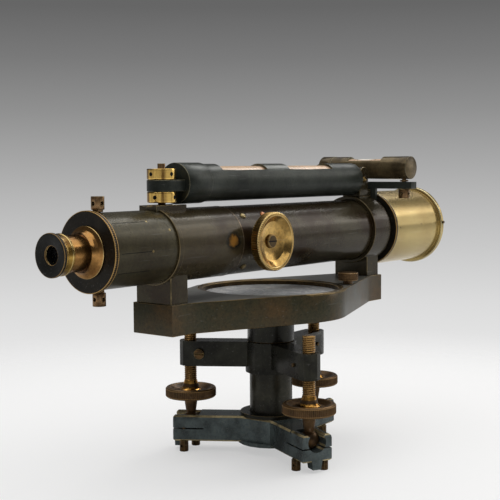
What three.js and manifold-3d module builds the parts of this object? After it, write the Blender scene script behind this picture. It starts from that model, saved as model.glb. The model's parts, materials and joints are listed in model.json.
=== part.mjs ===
// A surveyor's level: a telescope fixed on a stage with a sunk compass, a bubble tube above it,
// a cross bubble at its object end, and three levelling screws between a tribrach and a trivet.
// Millimetres. Z is the vertical axis of rotation, with zero on the plate of the tripod head under it.
// X runs from the eye end to the object end, and the focusing knob is on the -Y side.
import * as THREE from 'three';
import { mergeVertices } from 'three/addons/utils/BufferGeometryUtils.js';
import Module from 'manifold-3d';

const wasm = await Module();
wasm.setup();

// Fits
const runningGap = 0.3;
const seatGap = 0.3;
const overrun = 1;
const bite = 0.5;
const sinkShare = 0.5;
const halfStep = 0.5;

// Trivet
const armCount = 3;
const firstArmDegrees = 4;
const screwCircle = 58;
const trivetFootHeight = 10;
const trivetThickness = 18.5;
const trivetArmWidth = 22;
const trivetArmReach = 69.5;
const trivetHubCorner = 21;
const trivetEdgeBevel = 1.2;
const trivetBossRadius = 24;
const trivetBossProud = 1;
const tripodBore = 12;
const columnSocketDepth = 11.5;
const socketRadius = 6.75;
const socketHeight = 22.9;
const jawGap = 9.6;
const slitWidth = 1;
const slitHeight = 19.1;
const slitLength = 22;
const lugStart = 62;
const lugTop = 14;
const lugBottom = 4.75;
const lugTopWidth = 9;
const lugBottomWidth = 6;

// Screws that close the trivet's jaws
const socketClampReaches = [56, 62];
const socketClampOffset = 8.8;
const socketClampRadius = 1.4;
const socketClampHeadRadius = 3.15;
const socketClampHeadHeight = 7.6;
const socketClampCover = 2.4;
const socketClampHole = 1;

// Ring round the foot of the centre column
const ringRadius = 22;
const ringHeight = 2.5;

// Centre column and tribrach
const columnRadius = 15.2;
const columnRise = 31;
const columnTravel = 2.5;
const spigotRadius = 12.6;
const spigotHeight = 8;
const hubRadius = 18.2;
const hubHeight = 22;
const tribrachArmDrop = 4.1;
const tribrachArmWidth = 15.4;
const screwHoleGap = 0.4;
const tribrachSlitWidth = 1.2;
const tribrachSlitStart = 44;

// Screws that close the tribrach's arms
const armClampRadius = 1.4;
const armClampWeb = 1.15;
const armClampHeadRadius = 3.8;
const armClampHeadHeight = 1.8;
const armClampTail = 1.4;
const armClampSlotWidth = 0.9;
const armClampSlotDepth = 0.8;

// Levelling screws
const stemRadius = 4.45;
const stemTop = 92.8;
const stemChamfer = 0.9;
const discRadius = 18.2;
const discBottom = 40.3;
const discThickness = 7.2;
const discChamfer = 1;
const discFlatWidth = 3.2;
const discDishRadius = 11;
const discDishDepth = 2.6;
const flareRadius = 6.7;
const flareHeight = 46.5;
const flareTop = 52;
const lowerNeckRadius = 4.5;
const lowerNeckHeight = 36;
const ballNeckRadius = 3.3;

// Spindle and its nut
const spindleNeckRadius = 16.7;
const spindleNeckHeight = 18.5;
const spindleRadius = 8.8;
const spindleTipRadius = 7.4;
const spindleThreadRadius = 4.6;
const nutRadius = 10.6;
const nutHeight = 6;
const nutFlats = 6;
const nutRoomRadius = 11.8;
const nutRoomHeight = 12.4;

// Stage
const stageLength = 240;
const stageBarWidth = 33.6;
const stageThickness = 19.7;
const stageShoulder = 103;
const stageDiscRadius = 54.5;
const stageBevel = 1.5;
const stageFillet = 4;
const recessDepth = 14;

// Compass and the knob that lifts its needle
const bezelRadius = 51.3;
const bezelBore = 48;
const bezelDrop = 0.5;
const bezelLedgeWidth = 2.5;
const bezelLedgeHeight = 1.6;
const glassDepth = 3.5;
const compassGlassThickness = 1.5;
const dialThickness = 1.2;
const dialRingRadius = 45.2;
const dialRingBore = 39;
const dialRingHeight = 3.6;
const pivotBaseRadius = 3.6;
const pivotBaseHeight = 1.6;
const pivotHeight = 4.8;
const pivotTipRadius = 0.25;
const needleLength = 72;
const needleWidth = 3.2;
const needleTipWidth = 0.8;
const needleThickness = 1;
const needleCapRadius = 3;
const needleCapHeight = 2.6;
const needleCupRadius = 1.9;
const needleCupDepth = 1.6;
const lifterDegrees = -37;
const lifterMargin = 2.9;
const lifterBossRadius = 3.6;
const lifterBossHeight = 2.9;
const lifterHeadRadius = 7.3;
const lifterHeadHeight = 5.4;
const lifterStemRadius = 2;
const lifterStemLength = 11;

// Telescope: barrel, sleeve and standards
const drawTubeRadius = 18.6;
const drawTubeRoom = 2.3;
const barrelWall = 2.23;
const barrelBore = drawTubeRadius + drawTubeRoom;
const barrelRadius = barrelBore + barrelWall;
const barrelRise = 12.67;
const axisRise = barrelRadius + barrelRise;
const barrelObjectEnd = 118.5;
const guideLength = 18.5;
const sleeveWall = 1.2;
const sleeveProud = 0.27;
const sleeveRadius = barrelRadius + sleeveProud;
const sleeveStart = -120.1;
const sleeveEnd = -57.2;
const bandProud = 0.9;
const bandRadius = sleeveRadius + bandProud;
const bandLength = 3.9;
const eyeStandardInset = 1.15;
const eyeStandardThickness = 15.45;
const objectStandardInset = 2;
const objectStandardThickness = 15.7;
const standardWidth = 30.14;
const eyePadStart = -123;
const eyePadEnd = -95.4;
const eyePadWidth = 15;
const eyePadHollow = 1;
const collarWall = 2.67;
const collarRadius = barrelRadius + collarWall;
const padTop = collarRadius;
const collarStart = 97.2;
const collarEnd = 119.2;
const collarBeadProud = 0.2;
const collarBeadRadius = collarRadius + collarBeadProud;
const collarBeadLength = 1.6;

// Eye end
const eyeTubeShrink = 0.13;
const eyeTubeWall = 2;
const eyeTubeRadius = barrelRadius - eyeTubeShrink;
const eyeTubeBore = eyeTubeRadius - eyeTubeWall;
const eyeTubeStart = -171.3;
const eyeTubeSpigot = 3.6;
const eyePlateProud = 1.55;
const eyePlateRadius = eyeTubeRadius + eyePlateProud;
const eyePlateThickness = 2.9;
const eyePlateSpigot = 3;
const eyeSocketFlangeRadius = 15.7;
const eyeSocketFlangeThickness = 1.2;
const eyeSocketFlareRadius = 12.3;
const eyeSocketFlareLength = 1.8;
const eyeSocketRadius = 11;
const eyeSocketNeck = 4.8;
const eyeSocketEnd = -193;
const eyeSocketThreadRadius = 12.2;
const eyeSocketBore = 9.9;
const eyepieceTubeLength = 21;
const eyepieceBore = 8.6;
const eyepieceHeadRadius = 12.35;
const eyepieceHeadLength = 6.8;
const eyepieceHeadChamfer = 0.6;
const eyeHoleRadius = 5.5;
const eyeShoulder = 4;
const eyecupRadius = 12.94;
const eyecupThickness = 2;
const eyecupDish = 1.2;
const eyecupRimWidth = 1.6;
const eyeLensThickness = 2.4;

// Diaphragm with its two adjusting screws
const diaphragmPlace = -164.8;
const diaphragmRadius = 15;
const diaphragmBore = 8;
const diaphragmThickness = 4.4;
const diaphragmScrewRadius = 1.7;
const diaphragmScrewSeat = 2.6;
const diaphragmHeadRadius = 4.1;
const diaphragmHeadHeight = 9.3;
const diaphragmHeadNeck = 3.2;
const diaphragmHeadNeckHeight = 1.4;
const diaphragmHole = 1.25;
const diaphragmHoleRise = 5.1;

// Draw tube with its rack, objective and ray shade
const drawTubeWall = 1.4;
const drawTubeStart = -100;
const drawTubeCollarLength = 7;
const drawTubeEngagement = 3.6;
const focusTravel = 35;
const objectFlangeStart = 122.8;
const objectFlangeThickness = 2.2;
const objectHeadFlange = 10.4;
const objectHeadRadius = drawTubeRadius + objectHeadFlange;
const shadeWall = 1.05;
const shadeTail = 0.3;
const shadeEnd = 188.9;
const shadeLipProud = 2.7;
const shadeLipRadius = objectHeadRadius + shadeLipProud;
const shadeLipLength = 3.8;
const cellLength = 36;
const cellBoreRoom = 3.4;
const cellBore = drawTubeRadius + cellBoreRoom;
const cellLensRoom = 18;
const lensEdge = 2.2;
const lensRadius = cellBore + lensEdge;
const lensThickness = 6.5;
const lensBulge = 1.6;

// Pinion, its bearing and the focusing knob
const pinionPlace = -39;
const toothModule = 0.5;
const pinionTeeth = 12;
const toothAddendum = 0.34;
const toothDedendum = 0.6;
const toothTipWidth = 0.3;
const toothRootWidth = 0.7;
const pinionLength = 3.1;
const pinionShaftRadius = 2.2;
const rackDepth = 2;
const rackFoot = 3.5;
const rackInset = 0.4;
const windowHalfHeight = 4.2;
const saddleThickness = 1.4;
const saddleHalfLength = 15.2;
const saddleHalfDegrees = 56;
const bearingRadius = 5.2;
const bearingProud = 4.87;
const bearingEnd = barrelRadius + bearingProud;
const coverScrewSpacing = 21.5;
const coverScrewDegrees = 47;
const coverScrewHeadRadius = 1.75;
const coverScrewHeadDepth = 1.1;
const coverScrewProud = 0.2;
const coverScrewRadius = 0.9;
const knobRadius = 19.6;
const knobRim = 6.7;
const knobChamfer = 0.7;
const knobFaceGap = 12.87;
const knobFace = barrelRadius + knobFaceGap;
const knobLipWidth = 2.4;
const knobDishRadius = 13.2;
const knobDishDepth = 3.4;
const knobFloorRadius = 7.4;
const knobFloorDepth = 4.8;
const knobBossRadius = 6;
const knobScrewHeadRadius = 4.6;
const knobScrewHeadHeight = 1.7;
const knobScrewRadius = 1.2;
const knobScrewLength = 4.4;
const knobScrewSlotWidth = 1;
const knobScrewSlotDepth = 0.8;

// Main level
const levelGap = 15.97;
const levelRise = barrelRadius + levelGap;
const levelCaseRadius = 12.8;
const levelCaseStart = -98.4;
const levelCaseEnd = 100.8;
const levelRimRadius = 13.24;
const levelRimLength = 3.4;
const levelBore = 11.1;
const levelEndWall = 8;
const levelWindows = [[-61.5, -14], [11.5, 64.7]];
const levelWindowSill = 8.1;
const levelLugWidth = 18.6;
const levelLugThickness = 7.4;
const levelLugDrop = 1.2;
const studPlace = -110.4;
const studRadius = 2.5;
const studTop = 12.7;
const studSeatDepth = 2.6;
const studHoleGap = 0.8;
const studSlotWidth = 0.9;
const studSlotDepth = 1;
const levelNutRadius = 9.2;
const levelNutThickness = 6.8;
const levelNutChamfer = 0.6;
const levelNutGap = 0.15;
const levelNutHole = 1.1;
const levelNutHoleDepth = 3.5;
const hingePlace = 109;
const hingePostStart = 102.6;
const hingePostEnd = 118.2;
const hingePostWidth = 16;
const hingePostBase = 5.2;
const hingeEarRadius = 5.4;
const hingeEarTop = 9.5;
const hingeSlotWidth = 8.6;
const hingePinRadius = 2;
const hingePinHead = 0.8;

// Cross level with its bracket
const crossPlace = 124.8;
const crossStep = 8.7;
const crossRise = levelRise + crossStep;
const crossCaseRadius = 8.8;
const crossCaseStart = -40.4;
const crossCaseEnd = 40.7;
const crossCapLength = 10.9;
const crossCapRadius = 9.1;
const crossBore = 7.2;
const crossBoreHalfLength = 33;
const crossWindow = [-16.8, 15.2];
const crossWindowSill = 5.6;
const bracketStart = 119.4;
const bracketArmEnd = 127.2;
const crossArmGap = 2.1;
const bracketArmThickness = 5.3;
const bracketArmBottom = crossRise - crossCaseRadius - crossArmGap - bracketArmThickness;
const bracketArmNear = -43.9;
const bracketArmFar = 41;
const bracketPlateThickness = 2.6;
const bracketPlateHalfWidth = 11.6;
const bracketPlateDrop = 12.2;
const bracketPlateBottom = bracketArmBottom - bracketPlateDrop;
const crossPivotPlace = 34;
const crossPivotRadius = 1.3;
const crossLugWidth = 5;
const crossLugLength = 5.6;
const crossLugGap = 0.5;
const crossScrewPlace = -35.3;
const crossScrewRadius = 1.6;
const crossScrewHeadRadius = 4.45;
const crossScrewHeadHeight = 7.1;
const crossScrewCollarRadius = 3.2;
const crossScrewCollarHeight = 1.2;
const crossScrewPlay = 0.8;
const crossScrewReach = 4.2;
const crossScrewHole = 1.2;

// Sides of round pieces, by size
const compassSides = 36;
const fineSides = 28;
const roundSides = 20;
const smallSides = 12;
const tinySides = 8;

// Heights and places that follow from the sizes
const halfTurn = Math.PI;
const quarterTurn = halfTurn / 2;
const radians = (degrees) => degrees * halfTurn / 180;
const armTurns = Array.from({ length: armCount }, (_, i) => radians(firstArmDegrees) + i * 2 * halfTurn / armCount);
const trivetTop = trivetFootHeight + trivetThickness;
const hubBottom = trivetTop + columnRise;
const hubTop = hubBottom + hubHeight;
const neckBottom = hubTop + runningGap;
const stageBottom = neckBottom + spindleNeckHeight;
const stageTop = stageBottom + stageThickness;
const axisHeight = stageTop + axisRise;
const barrelSpigotRadius = sleeveRadius - sleeveWall - seatGap;

// A solid of revolution about Z from points (radius, height); a profile off the axis closes on itself
function turned(profile, sides) {
  let area = 0;
  profile.forEach(([radius, height], i) => {
    const [nextRadius, nextHeight] = profile[(i + 1) % profile.length];
    area += radius * nextHeight - nextRadius * height;
  });
  const ordered = area > 0 ? [...profile] : [...profile].reverse();
  if (ordered[0][0] > 0) ordered.push(ordered[0]);
  const points = ordered.map(([radius, height]) => new THREE.Vector2(radius, height));
  return new THREE.LatheGeometry(points, sides).rotateX(quarterTurn);
}

function rod(radius, from, to, sides) {
  return turned([[0, from], [radius, from], [radius, to], [0, to]], sides);
}

function tube(radius, bore, from, to, sides) {
  return turned([[bore, from], [radius, from], [radius, to], [bore, to]], sides);
}

// Turns a piece made about Z to lie about X or Y, with its heights along that axis
const alongX = (geometry) => geometry.rotateY(quarterTurn);
const alongY = (geometry) => geometry.rotateX(-quarterTurn);

function block([x0, x1], [y0, y1], [z0, z1]) {
  const geometry = new THREE.BoxGeometry(x1 - x0, y1 - y0, z1 - z0);
  return geometry.translate((x0 + x1) / 2, (y0 + y1) / 2, (z0 + z1) / 2);
}

// A prism along Z from an outline given as points
function prism(outline, from, to) {
  const shape = new THREE.Shape(outline.map(([x, y]) => new THREE.Vector2(x, y)));
  return new THREE.ExtrudeGeometry(shape, { depth: to - from, bevelEnabled: false }).translate(0, 0, from);
}

function bevelledPrism(outline, from, to, bevel) {
  const shape = new THREE.Shape(outline.map(([x, y]) => new THREE.Vector2(x, y)));
  const settings = {
    depth: to - from - 2 * bevel,
    bevelThickness: bevel,
    bevelSize: bevel,
    bevelOffset: -bevel,
    bevelSegments: 1,
  };
  return new THREE.ExtrudeGeometry(shape, settings).translate(0, 0, from + bevel);
}

// A prism along X whose outline is given in (y, z), or along Y with an outline in (x, z)
const prismAlongX = (outline, from, to) => prism(outline, from, to).rotateZ(quarterTurn).rotateY(quarterTurn);
const prismAlongY = (outline, from, to) => prism(outline, -to, -from).rotateX(quarterTurn);

function arc(centreX, centreY, radius, fromTurn, toTurn, steps) {
  return Array.from({ length: steps + 1 }, (_, i) => {
    const turn = fromTurn + (toTurn - fromTurn) * i / steps;
    return [centreX + radius * Math.cos(turn), centreY + radius * Math.sin(turn)];
  });
}

function solidOf(geometry) {
  const bare = geometry.clone();
  bare.deleteAttribute('normal');
  bare.deleteAttribute('uv');
  const merged = mergeVertices(bare);
  const corners = merged.index.array;
  const kept = [];
  for (let i = 0; i < corners.length; i += 3) {
    const [a, b, c] = corners.slice(i, i + 3);
    if (a !== b && b !== c && c !== a) kept.push(a, b, c);
  }
  const vertProperties = merged.attributes.position.array;
  return new wasm.Manifold(new wasm.Mesh({ numProp: 3, vertProperties, triVerts: new Uint32Array(kept) }));
}

function geometryOf(solid) {
  const mesh = solid.getMesh();
  const geometry = new THREE.BufferGeometry();
  geometry.setAttribute('position', new THREE.BufferAttribute(mesh.vertProperties, mesh.numProp));
  geometry.setIndex(new THREE.BufferAttribute(mesh.triVerts, 1));
  return geometry;
}

const joined = (...parts) => geometryOf(parts.map(solidOf).reduce((whole, part) => whole.add(part)));
const cut = (whole, ...tools) => geometryOf(tools.map(solidOf).reduce((left, tool) => left.subtract(tool), solidOf(whole)));

// Groups that carry the pieces, and the finishes
const level = new THREE.Group();
const telescope = new THREE.Group();
telescope.position.z = axisHeight;
level.add(telescope);
const blackBronze = { color: 0x1e1c19, roughness: 0.42, metalness: 0.7 };
const blueBlack = { color: 0x1d2325, roughness: 0.48, metalness: 0.6 };
const oliveBronze = { color: 0x2c281c, roughness: 0.38, metalness: 0.7 };
const greenBlack = { color: 0x232a27, roughness: 0.5, metalness: 0.55 };
const brass = { color: 0xb58a3c, roughness: 0.28, metalness: 1 };
const wornBrass = { color: 0x8a5a2c, roughness: 0.4, metalness: 0.95 };
const paleBrass = { color: 0xc9bb7c, roughness: 0.3, metalness: 0.95 };
const steel = { color: 0x6d7276, roughness: 0.35, metalness: 1 };
const silvered = { color: 0x8b939b, roughness: 0.5, metalness: 0.6 };
const glass = { color: 0xaeb9bd, roughness: 0.08, metalness: 0, transparent: true, opacity: 0.35 };
const vialGlass = { color: 0xd9cbb0, roughness: 0.15, metalness: 0, transparent: true, opacity: 0.6 };

function piece(name, geometry, finish, parent = level) {
  const mesh = new THREE.Mesh(geometry, new THREE.MeshStandardMaterial({ ...finish, flatShading: true }));
  mesh.name = name;
  parent.add(mesh);
  return mesh;
}

// The trivet: three arms whose split ends hold the balls of the levelling screws
const jawInner = jawGap / 2;
const trivetHalfWidth = trivetArmWidth / 2;
const jawRound = (trivetHalfWidth - jawInner) / 2;
const jawCentre = trivetTop - jawRound;
const jawMiddle = jawInner + jawRound;
const socketStart = screwCircle - socketRadius;
const columnBore = columnRadius + runningGap;
const clampHoleRadius = socketClampRadius + seatGap / 2;

function turnedPoint([x, y], turn) {
  return [x * Math.cos(turn) - y * Math.sin(turn), x * Math.sin(turn) + y * Math.cos(turn)];
}

function trivetArmCuts(turn) {
  const bore = alongX(rod(socketRadius, socketStart, trivetArmReach + overrun, roundSides));
  bore.translate(0, 0, socketHeight);
  const aboveJaws = [
    [-jawInner, socketHeight],
    [jawInner, socketHeight],
    ...arc(jawMiddle, jawCentre, jawRound, halfTurn, 0, 5),
    [trivetHalfWidth + overrun, jawCentre],
    [trivetHalfWidth + overrun, trivetTop + overrun],
    [-trivetHalfWidth - overrun, trivetTop + overrun],
    [-trivetHalfWidth - overrun, jawCentre],
    ...arc(-jawMiddle, jawCentre, jawRound, halfTurn, 0, 5),
  ];
  const mouth = prismAlongX(aboveJaws, socketStart, trivetArmReach + overrun);
  const slit = block(
    [trivetArmReach - slitLength, trivetArmReach + overrun],
    [-trivetHalfWidth - overrun, trivetHalfWidth + overrun],
    [slitHeight - slitWidth / 2, slitHeight + slitWidth / 2],
  );
  const holes = socketClampReaches.map((reach, i) => {
    const side = i === 0 ? -1 : 1;
    const hole = rod(clampHoleRadius, trivetFootHeight - overrun, trivetTop - socketClampCover, tinySides);
    return hole.translate(reach, side * socketClampOffset, 0);
  });
  return [bore, mouth, slit, ...holes].map((tool) => tool.rotateZ(turn));
}

function trivetLug(turn) {
  const half = [lugBottomWidth / 2, lugTopWidth / 2];
  const outline = [[-half[0], lugBottom], [half[0], lugBottom], [half[1], lugTop], [-half[1], lugTop]];
  return prismAlongX(outline, lugStart, trivetArmReach).rotateZ(turn);
}

const trivetOutline = armTurns.flatMap((turn) => [
  [trivetHubCorner, -trivetHalfWidth],
  [trivetArmReach, -trivetHalfWidth],
  [trivetArmReach, trivetHalfWidth],
  [trivetHubCorner, trivetHalfWidth],
].map((point) => turnedPoint(point, turn)));
const trivetBossBottom = trivetFootHeight - trivetBossProud;
const trivetBoss = rod(trivetBossRadius, trivetBossBottom, trivetFootHeight + trivetEdgeBevel + bite, roundSides);
const trivetSolid = joined(
  bevelledPrism(trivetOutline, trivetFootHeight, trivetTop, trivetEdgeBevel),
  trivetBoss,
  ...armTurns.map(trivetLug),
);
const columnRoom = rod(columnBore, trivetTop - columnSocketDepth, trivetTop + overrun, roundSides);
const tripodRoom = rod(tripodBore, -overrun, trivetTop, roundSides);
piece('trivet_plate', cut(trivetSolid, columnRoom, tripodRoom, ...armTurns.flatMap(trivetArmCuts)), blueBlack);

// Capstan screws under the arms close the jaws on the balls
const socketClampTop = trivetTop - socketClampCover - seatGap;
const socketClampHeadBottom = trivetFootHeight - socketClampHeadHeight;
const socketClampCross = () => rod(socketClampHole, -socketClampHeadRadius - overrun, socketClampHeadRadius + overrun, tinySides);
const socketClampHoleHeight = trivetFootHeight - socketClampHeadHeight / 2;
const socketClampBody = turned([
  [0, socketClampHeadBottom],
  [socketClampHeadRadius, socketClampHeadBottom],
  [socketClampHeadRadius, trivetFootHeight],
  [socketClampRadius, trivetFootHeight],
  [socketClampRadius, socketClampTop],
  [0, socketClampTop],
], tinySides);
const socketClamp = cut(
  socketClampBody,
  alongX(socketClampCross()).translate(0, 0, socketClampHoleHeight),
);
armTurns.forEach((turn, arm) => socketClampReaches.forEach((reach, i) => {
  const side = i === 0 ? -1 : 1;
  const screw = piece(`socket_clamp_screw_${arm * socketClampReaches.length + i + 1}`, socketClamp, wornBrass);
  const [x, y] = turnedPoint([reach, side * socketClampOffset], turn);
  screw.position.set(x, y, 0);
}));

// Ring screwed round the foot of the column
piece('centre_ring', tube(ringRadius, columnBore, trivetTop, trivetTop + ringHeight, roundSides), blackBronze);

// The tribrach: hub and three arms, each split across its screw hole and closed by a clamp screw
const tribrachArmTop = hubTop;
const tribrachArmBottom = hubBottom + tribrachArmDrop;
const tribrachHalfWidth = tribrachArmWidth / 2;
const screwHoleRadius = stemRadius + screwHoleGap;
const armClampHeight = (tribrachArmTop + tribrachArmBottom) / 2;
const armClampReach = screwCircle - screwHoleRadius - armClampRadius - armClampWeb;
const armClampHoleRadius = armClampRadius + seatGap / 2;
const spindleBore = spindleRadius + runningGap;
const columnBottom = trivetTop - columnSocketDepth + columnTravel + runningGap;
const nutRoomTop = columnBottom + nutRoomHeight;

const tribrachArms = armTurns.map((turn) => {
  const end = arc(screwCircle, 0, tribrachHalfWidth, -quarterTurn, quarterTurn, roundSides / 4);
  const outline = [[0, -tribrachHalfWidth], ...end, [0, tribrachHalfWidth]];
  return prism(outline, tribrachArmBottom, tribrachArmTop).rotateZ(turn);
});
const tribrachCuts = armTurns.flatMap((turn) => {
  const screwHole = rod(screwHoleRadius, tribrachArmBottom - overrun, tribrachArmTop + overrun, smallSides);
  const slit = block(
    [tribrachSlitStart, screwCircle],
    [-tribrachSlitWidth / 2, tribrachSlitWidth / 2],
    [tribrachArmBottom - overrun, tribrachArmTop + overrun],
  );
  const clampHole = alongY(rod(armClampHoleRadius, -tribrachHalfWidth - overrun, tribrachHalfWidth + overrun, tinySides));
  clampHole.translate(armClampReach, 0, armClampHeight);
  return [screwHole.translate(screwCircle, 0, 0), slit, clampHole].map((tool) => tool.rotateZ(turn));
});
const tribrachHub = rod(hubRadius, hubBottom, hubTop, roundSides);
const hubBoreTool = rod(spindleBore, hubBottom - overrun, hubTop + overrun, roundSides);
const spigotRoom = rod(spigotRadius + seatGap, hubBottom - overrun, hubBottom + spigotHeight + seatGap, roundSides);
piece('tribrach', cut(joined(tribrachHub, ...tribrachArms), hubBoreTool, spigotRoom, ...tribrachCuts), blackBronze);

piece('centre_column', turned([
  [nutRoomRadius, columnBottom],
  [columnRadius, columnBottom],
  [columnRadius, hubBottom],
  [spigotRadius, hubBottom],
  [spigotRadius, hubBottom + spigotHeight],
  [spindleBore, hubBottom + spigotHeight],
  [spindleBore, nutRoomTop],
  [nutRoomRadius, nutRoomTop],
], roundSides), blackBronze);

const armClampBody = alongY(turned([
  [0, -tribrachHalfWidth - armClampTail],
  [armClampRadius, -tribrachHalfWidth - armClampTail],
  [armClampRadius, tribrachHalfWidth + seatGap],
  [armClampHeadRadius, tribrachHalfWidth + seatGap],
  [armClampHeadRadius, tribrachHalfWidth + seatGap + armClampHeadHeight],
  [0, tribrachHalfWidth + seatGap + armClampHeadHeight],
], smallSides));
const armClampFace = tribrachHalfWidth + seatGap + armClampHeadHeight;
const armClampSlot = block(
  [-armClampHeadRadius - overrun, armClampHeadRadius + overrun],
  [armClampFace - armClampSlotDepth, armClampFace + overrun],
  [-armClampSlotWidth / 2, armClampSlotWidth / 2],
);
const armClamp = cut(armClampBody, armClampSlot);
armTurns.forEach((turn, i) => {
  const screw = piece(`arm_clamp_screw_${i + 1}`, armClamp, wornBrass);
  const [x, y] = turnedPoint([armClampReach, 0], turn);
  screw.position.set(x, y, armClampHeight);
  screw.rotation.z = turn;
});

// The levelling screws, each turned in one piece from its ball to its threaded stem
const ballRadius = socketRadius - runningGap;
const ballNeckTurn = Math.acos(ballNeckRadius / ballRadius);
const discTop = discBottom + discThickness;
const levellingScrew = turned([
  [0, socketHeight - ballRadius],
  ...arc(0, socketHeight, ballRadius, -quarterTurn, ballNeckTurn, 4).slice(1),
  [lowerNeckRadius, lowerNeckHeight],
  [lowerNeckRadius, discBottom],
  [discRadius - discChamfer, discBottom],
  [discRadius, discBottom + discChamfer],
  [discRadius, discTop - discChamfer],
  [discRadius - discChamfer, discTop],
  [discRadius - discFlatWidth, discTop],
  [discDishRadius, discTop - discDishDepth],
  [flareRadius, flareHeight],
  [stemRadius, flareTop],
  [stemRadius, stemTop - stemChamfer],
  [stemRadius - stemChamfer, stemTop],
  [0, stemTop],
], roundSides);
armTurns.forEach((turn, i) => {
  const screw = piece(`foot_screw_${i + 1}`, levellingScrew, wornBrass);
  const [x, y] = turnedPoint([screwCircle, 0], turn);
  screw.position.set(x, y, 0);
});

// The spindle turns in the column and carries the stage; a nut under its shoulder keeps it down
const spindleTip = nutRoomTop + overrun;
const nutTop = nutRoomTop - runningGap;
piece('spindle', turned([
  [0, nutTop - nutHeight - overrun],
  [spindleThreadRadius, nutTop - nutHeight - overrun],
  [spindleThreadRadius, spindleTip],
  [spindleTipRadius, spindleTip],
  [spindleRadius, hubBottom],
  [spindleRadius, neckBottom],
  [spindleNeckRadius, neckBottom],
  [spindleNeckRadius, stageBottom],
  [0, stageBottom],
], roundSides), blackBronze);
const nutBody = rod(nutRadius, nutTop - nutHeight, nutTop, nutFlats);
const nutBore = rod(spindleThreadRadius + seatGap, nutTop - nutHeight - overrun, nutTop + overrun, roundSides);
piece('spindle_nut', cut(nutBody, nutBore), steel);

// The stage: a flat bar that widens with straight tapers into a disc round the compass
const stageHalfLength = stageLength / 2;
const stageHalfWidth = stageBarWidth / 2;
const bezelRoom = bezelRadius + seatGap;
const recessFloor = stageTop - recessDepth;
const shoulderReach = Math.hypot(stageShoulder, stageHalfWidth);
const taperTurn = Math.atan2(stageHalfWidth, stageShoulder) + Math.acos(stageDiscRadius / shoulderReach);
const tangent = [stageDiscRadius * Math.cos(taperTurn), stageDiscRadius * Math.sin(taperTurn)];
const taperLength = Math.hypot(stageShoulder - tangent[0], tangent[1] - stageHalfWidth);
const taperStep = [(tangent[0] - stageShoulder) / taperLength, (tangent[1] - stageHalfWidth) / taperLength];
const stageQuarter = [
  [stageHalfLength, stageHalfWidth],
  [stageShoulder + stageFillet, stageHalfWidth],
  [stageShoulder + taperStep[0] * stageFillet, stageHalfWidth + taperStep[1] * stageFillet],
  tangent,
];
const stageOutline = [
  ...stageQuarter,
  ...[...stageQuarter].reverse().map(([x, y]) => [-x, y]),
  ...stageQuarter.map(([x, y]) => [-x, -y]),
  ...[...stageQuarter].reverse().map(([x, y]) => [x, -y]),
];
const stageDisc = turned([
  [0, stageBottom],
  [stageDiscRadius, stageBottom],
  [stageDiscRadius, stageTop - stageBevel],
  [stageDiscRadius - stageBevel, stageTop],
  [0, stageTop],
], compassSides);
const lifterReach = bezelRoom + lifterBossRadius + lifterMargin;
const lifterTurn = radians(lifterDegrees);
const lifterX = lifterReach * Math.cos(lifterTurn);
const lifterY = lifterReach * Math.sin(lifterTurn);
const lifterStemHole = lifterStemRadius + runningGap;
const lifterHole = rod(lifterStemHole, stageTop - lifterStemLength - seatGap, stageTop + overrun, tinySides);
lifterHole.translate(lifterX, lifterY, 0);
const stageBlank = joined(prism(stageOutline, stageBottom, stageTop), stageDisc);
const compassRoom = rod(bezelRoom, recessFloor, stageTop + overrun, compassSides);
piece('stage_plate', cut(stageBlank, compassRoom, lifterHole), blackBronze);

// The compass: bezel, dial and glass sunk in the stage, with the needle on its pivot
const bezelTop = stageTop - bezelDrop;
const compassGlassBottom = stageTop - glassDepth - compassGlassThickness;
const ledgeBore = bezelBore - bezelLedgeWidth;
piece('compass_bezel', turned([
  [bezelBore, recessFloor],
  [bezelRadius, recessFloor],
  [bezelRadius, bezelTop],
  [bezelBore, bezelTop],
  [bezelBore, compassGlassBottom],
  [ledgeBore, compassGlassBottom],
  [ledgeBore, compassGlassBottom - bezelLedgeHeight],
  [bezelBore, compassGlassBottom - bezelLedgeHeight],
], compassSides), brass);
const compassGlassTop = compassGlassBottom + compassGlassThickness;
piece('compass_glass', rod(bezelBore - seatGap, compassGlassBottom, compassGlassTop, compassSides), glass);
const dialTop = recessFloor + dialThickness;
piece('compass_dial', turned([
  [0, recessFloor],
  [bezelBore - seatGap, recessFloor],
  [bezelBore - seatGap, dialTop],
  [dialRingRadius, dialTop],
  [dialRingRadius, dialTop + dialRingHeight],
  [dialRingBore, dialTop + dialRingHeight],
  [dialRingBore, dialTop],
  [0, dialTop],
], compassSides), silvered);
piece('compass_pivot', turned([
  [0, dialTop],
  [pivotBaseRadius, dialTop],
  [pivotBaseRadius, dialTop + pivotBaseHeight],
  [pivotTipRadius, dialTop + pivotHeight],
  [0, dialTop + pivotHeight],
], smallSides), brass);
const cupRoof = dialTop + pivotHeight + runningGap;
const cupMouth = cupRoof - needleCupDepth;
const needleBlade = prism([
  [-needleLength / 2, -needleTipWidth / 2],
  [0, -needleWidth / 2],
  [needleLength / 2, -needleTipWidth / 2],
  [needleLength / 2, needleTipWidth / 2],
  [0, needleWidth / 2],
  [-needleLength / 2, needleTipWidth / 2],
], cupMouth, cupMouth + needleThickness);
const needleCap = rod(needleCapRadius, cupMouth, cupMouth + needleCapHeight, smallSides);
const needleCup = turned([[0, cupMouth - overrun], [needleCupRadius, cupMouth - overrun], [needleCupRadius, cupMouth], [0, cupRoof]], smallSides);
piece('compass_needle', cut(joined(needleBlade, needleCap), needleCup), steel);
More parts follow.
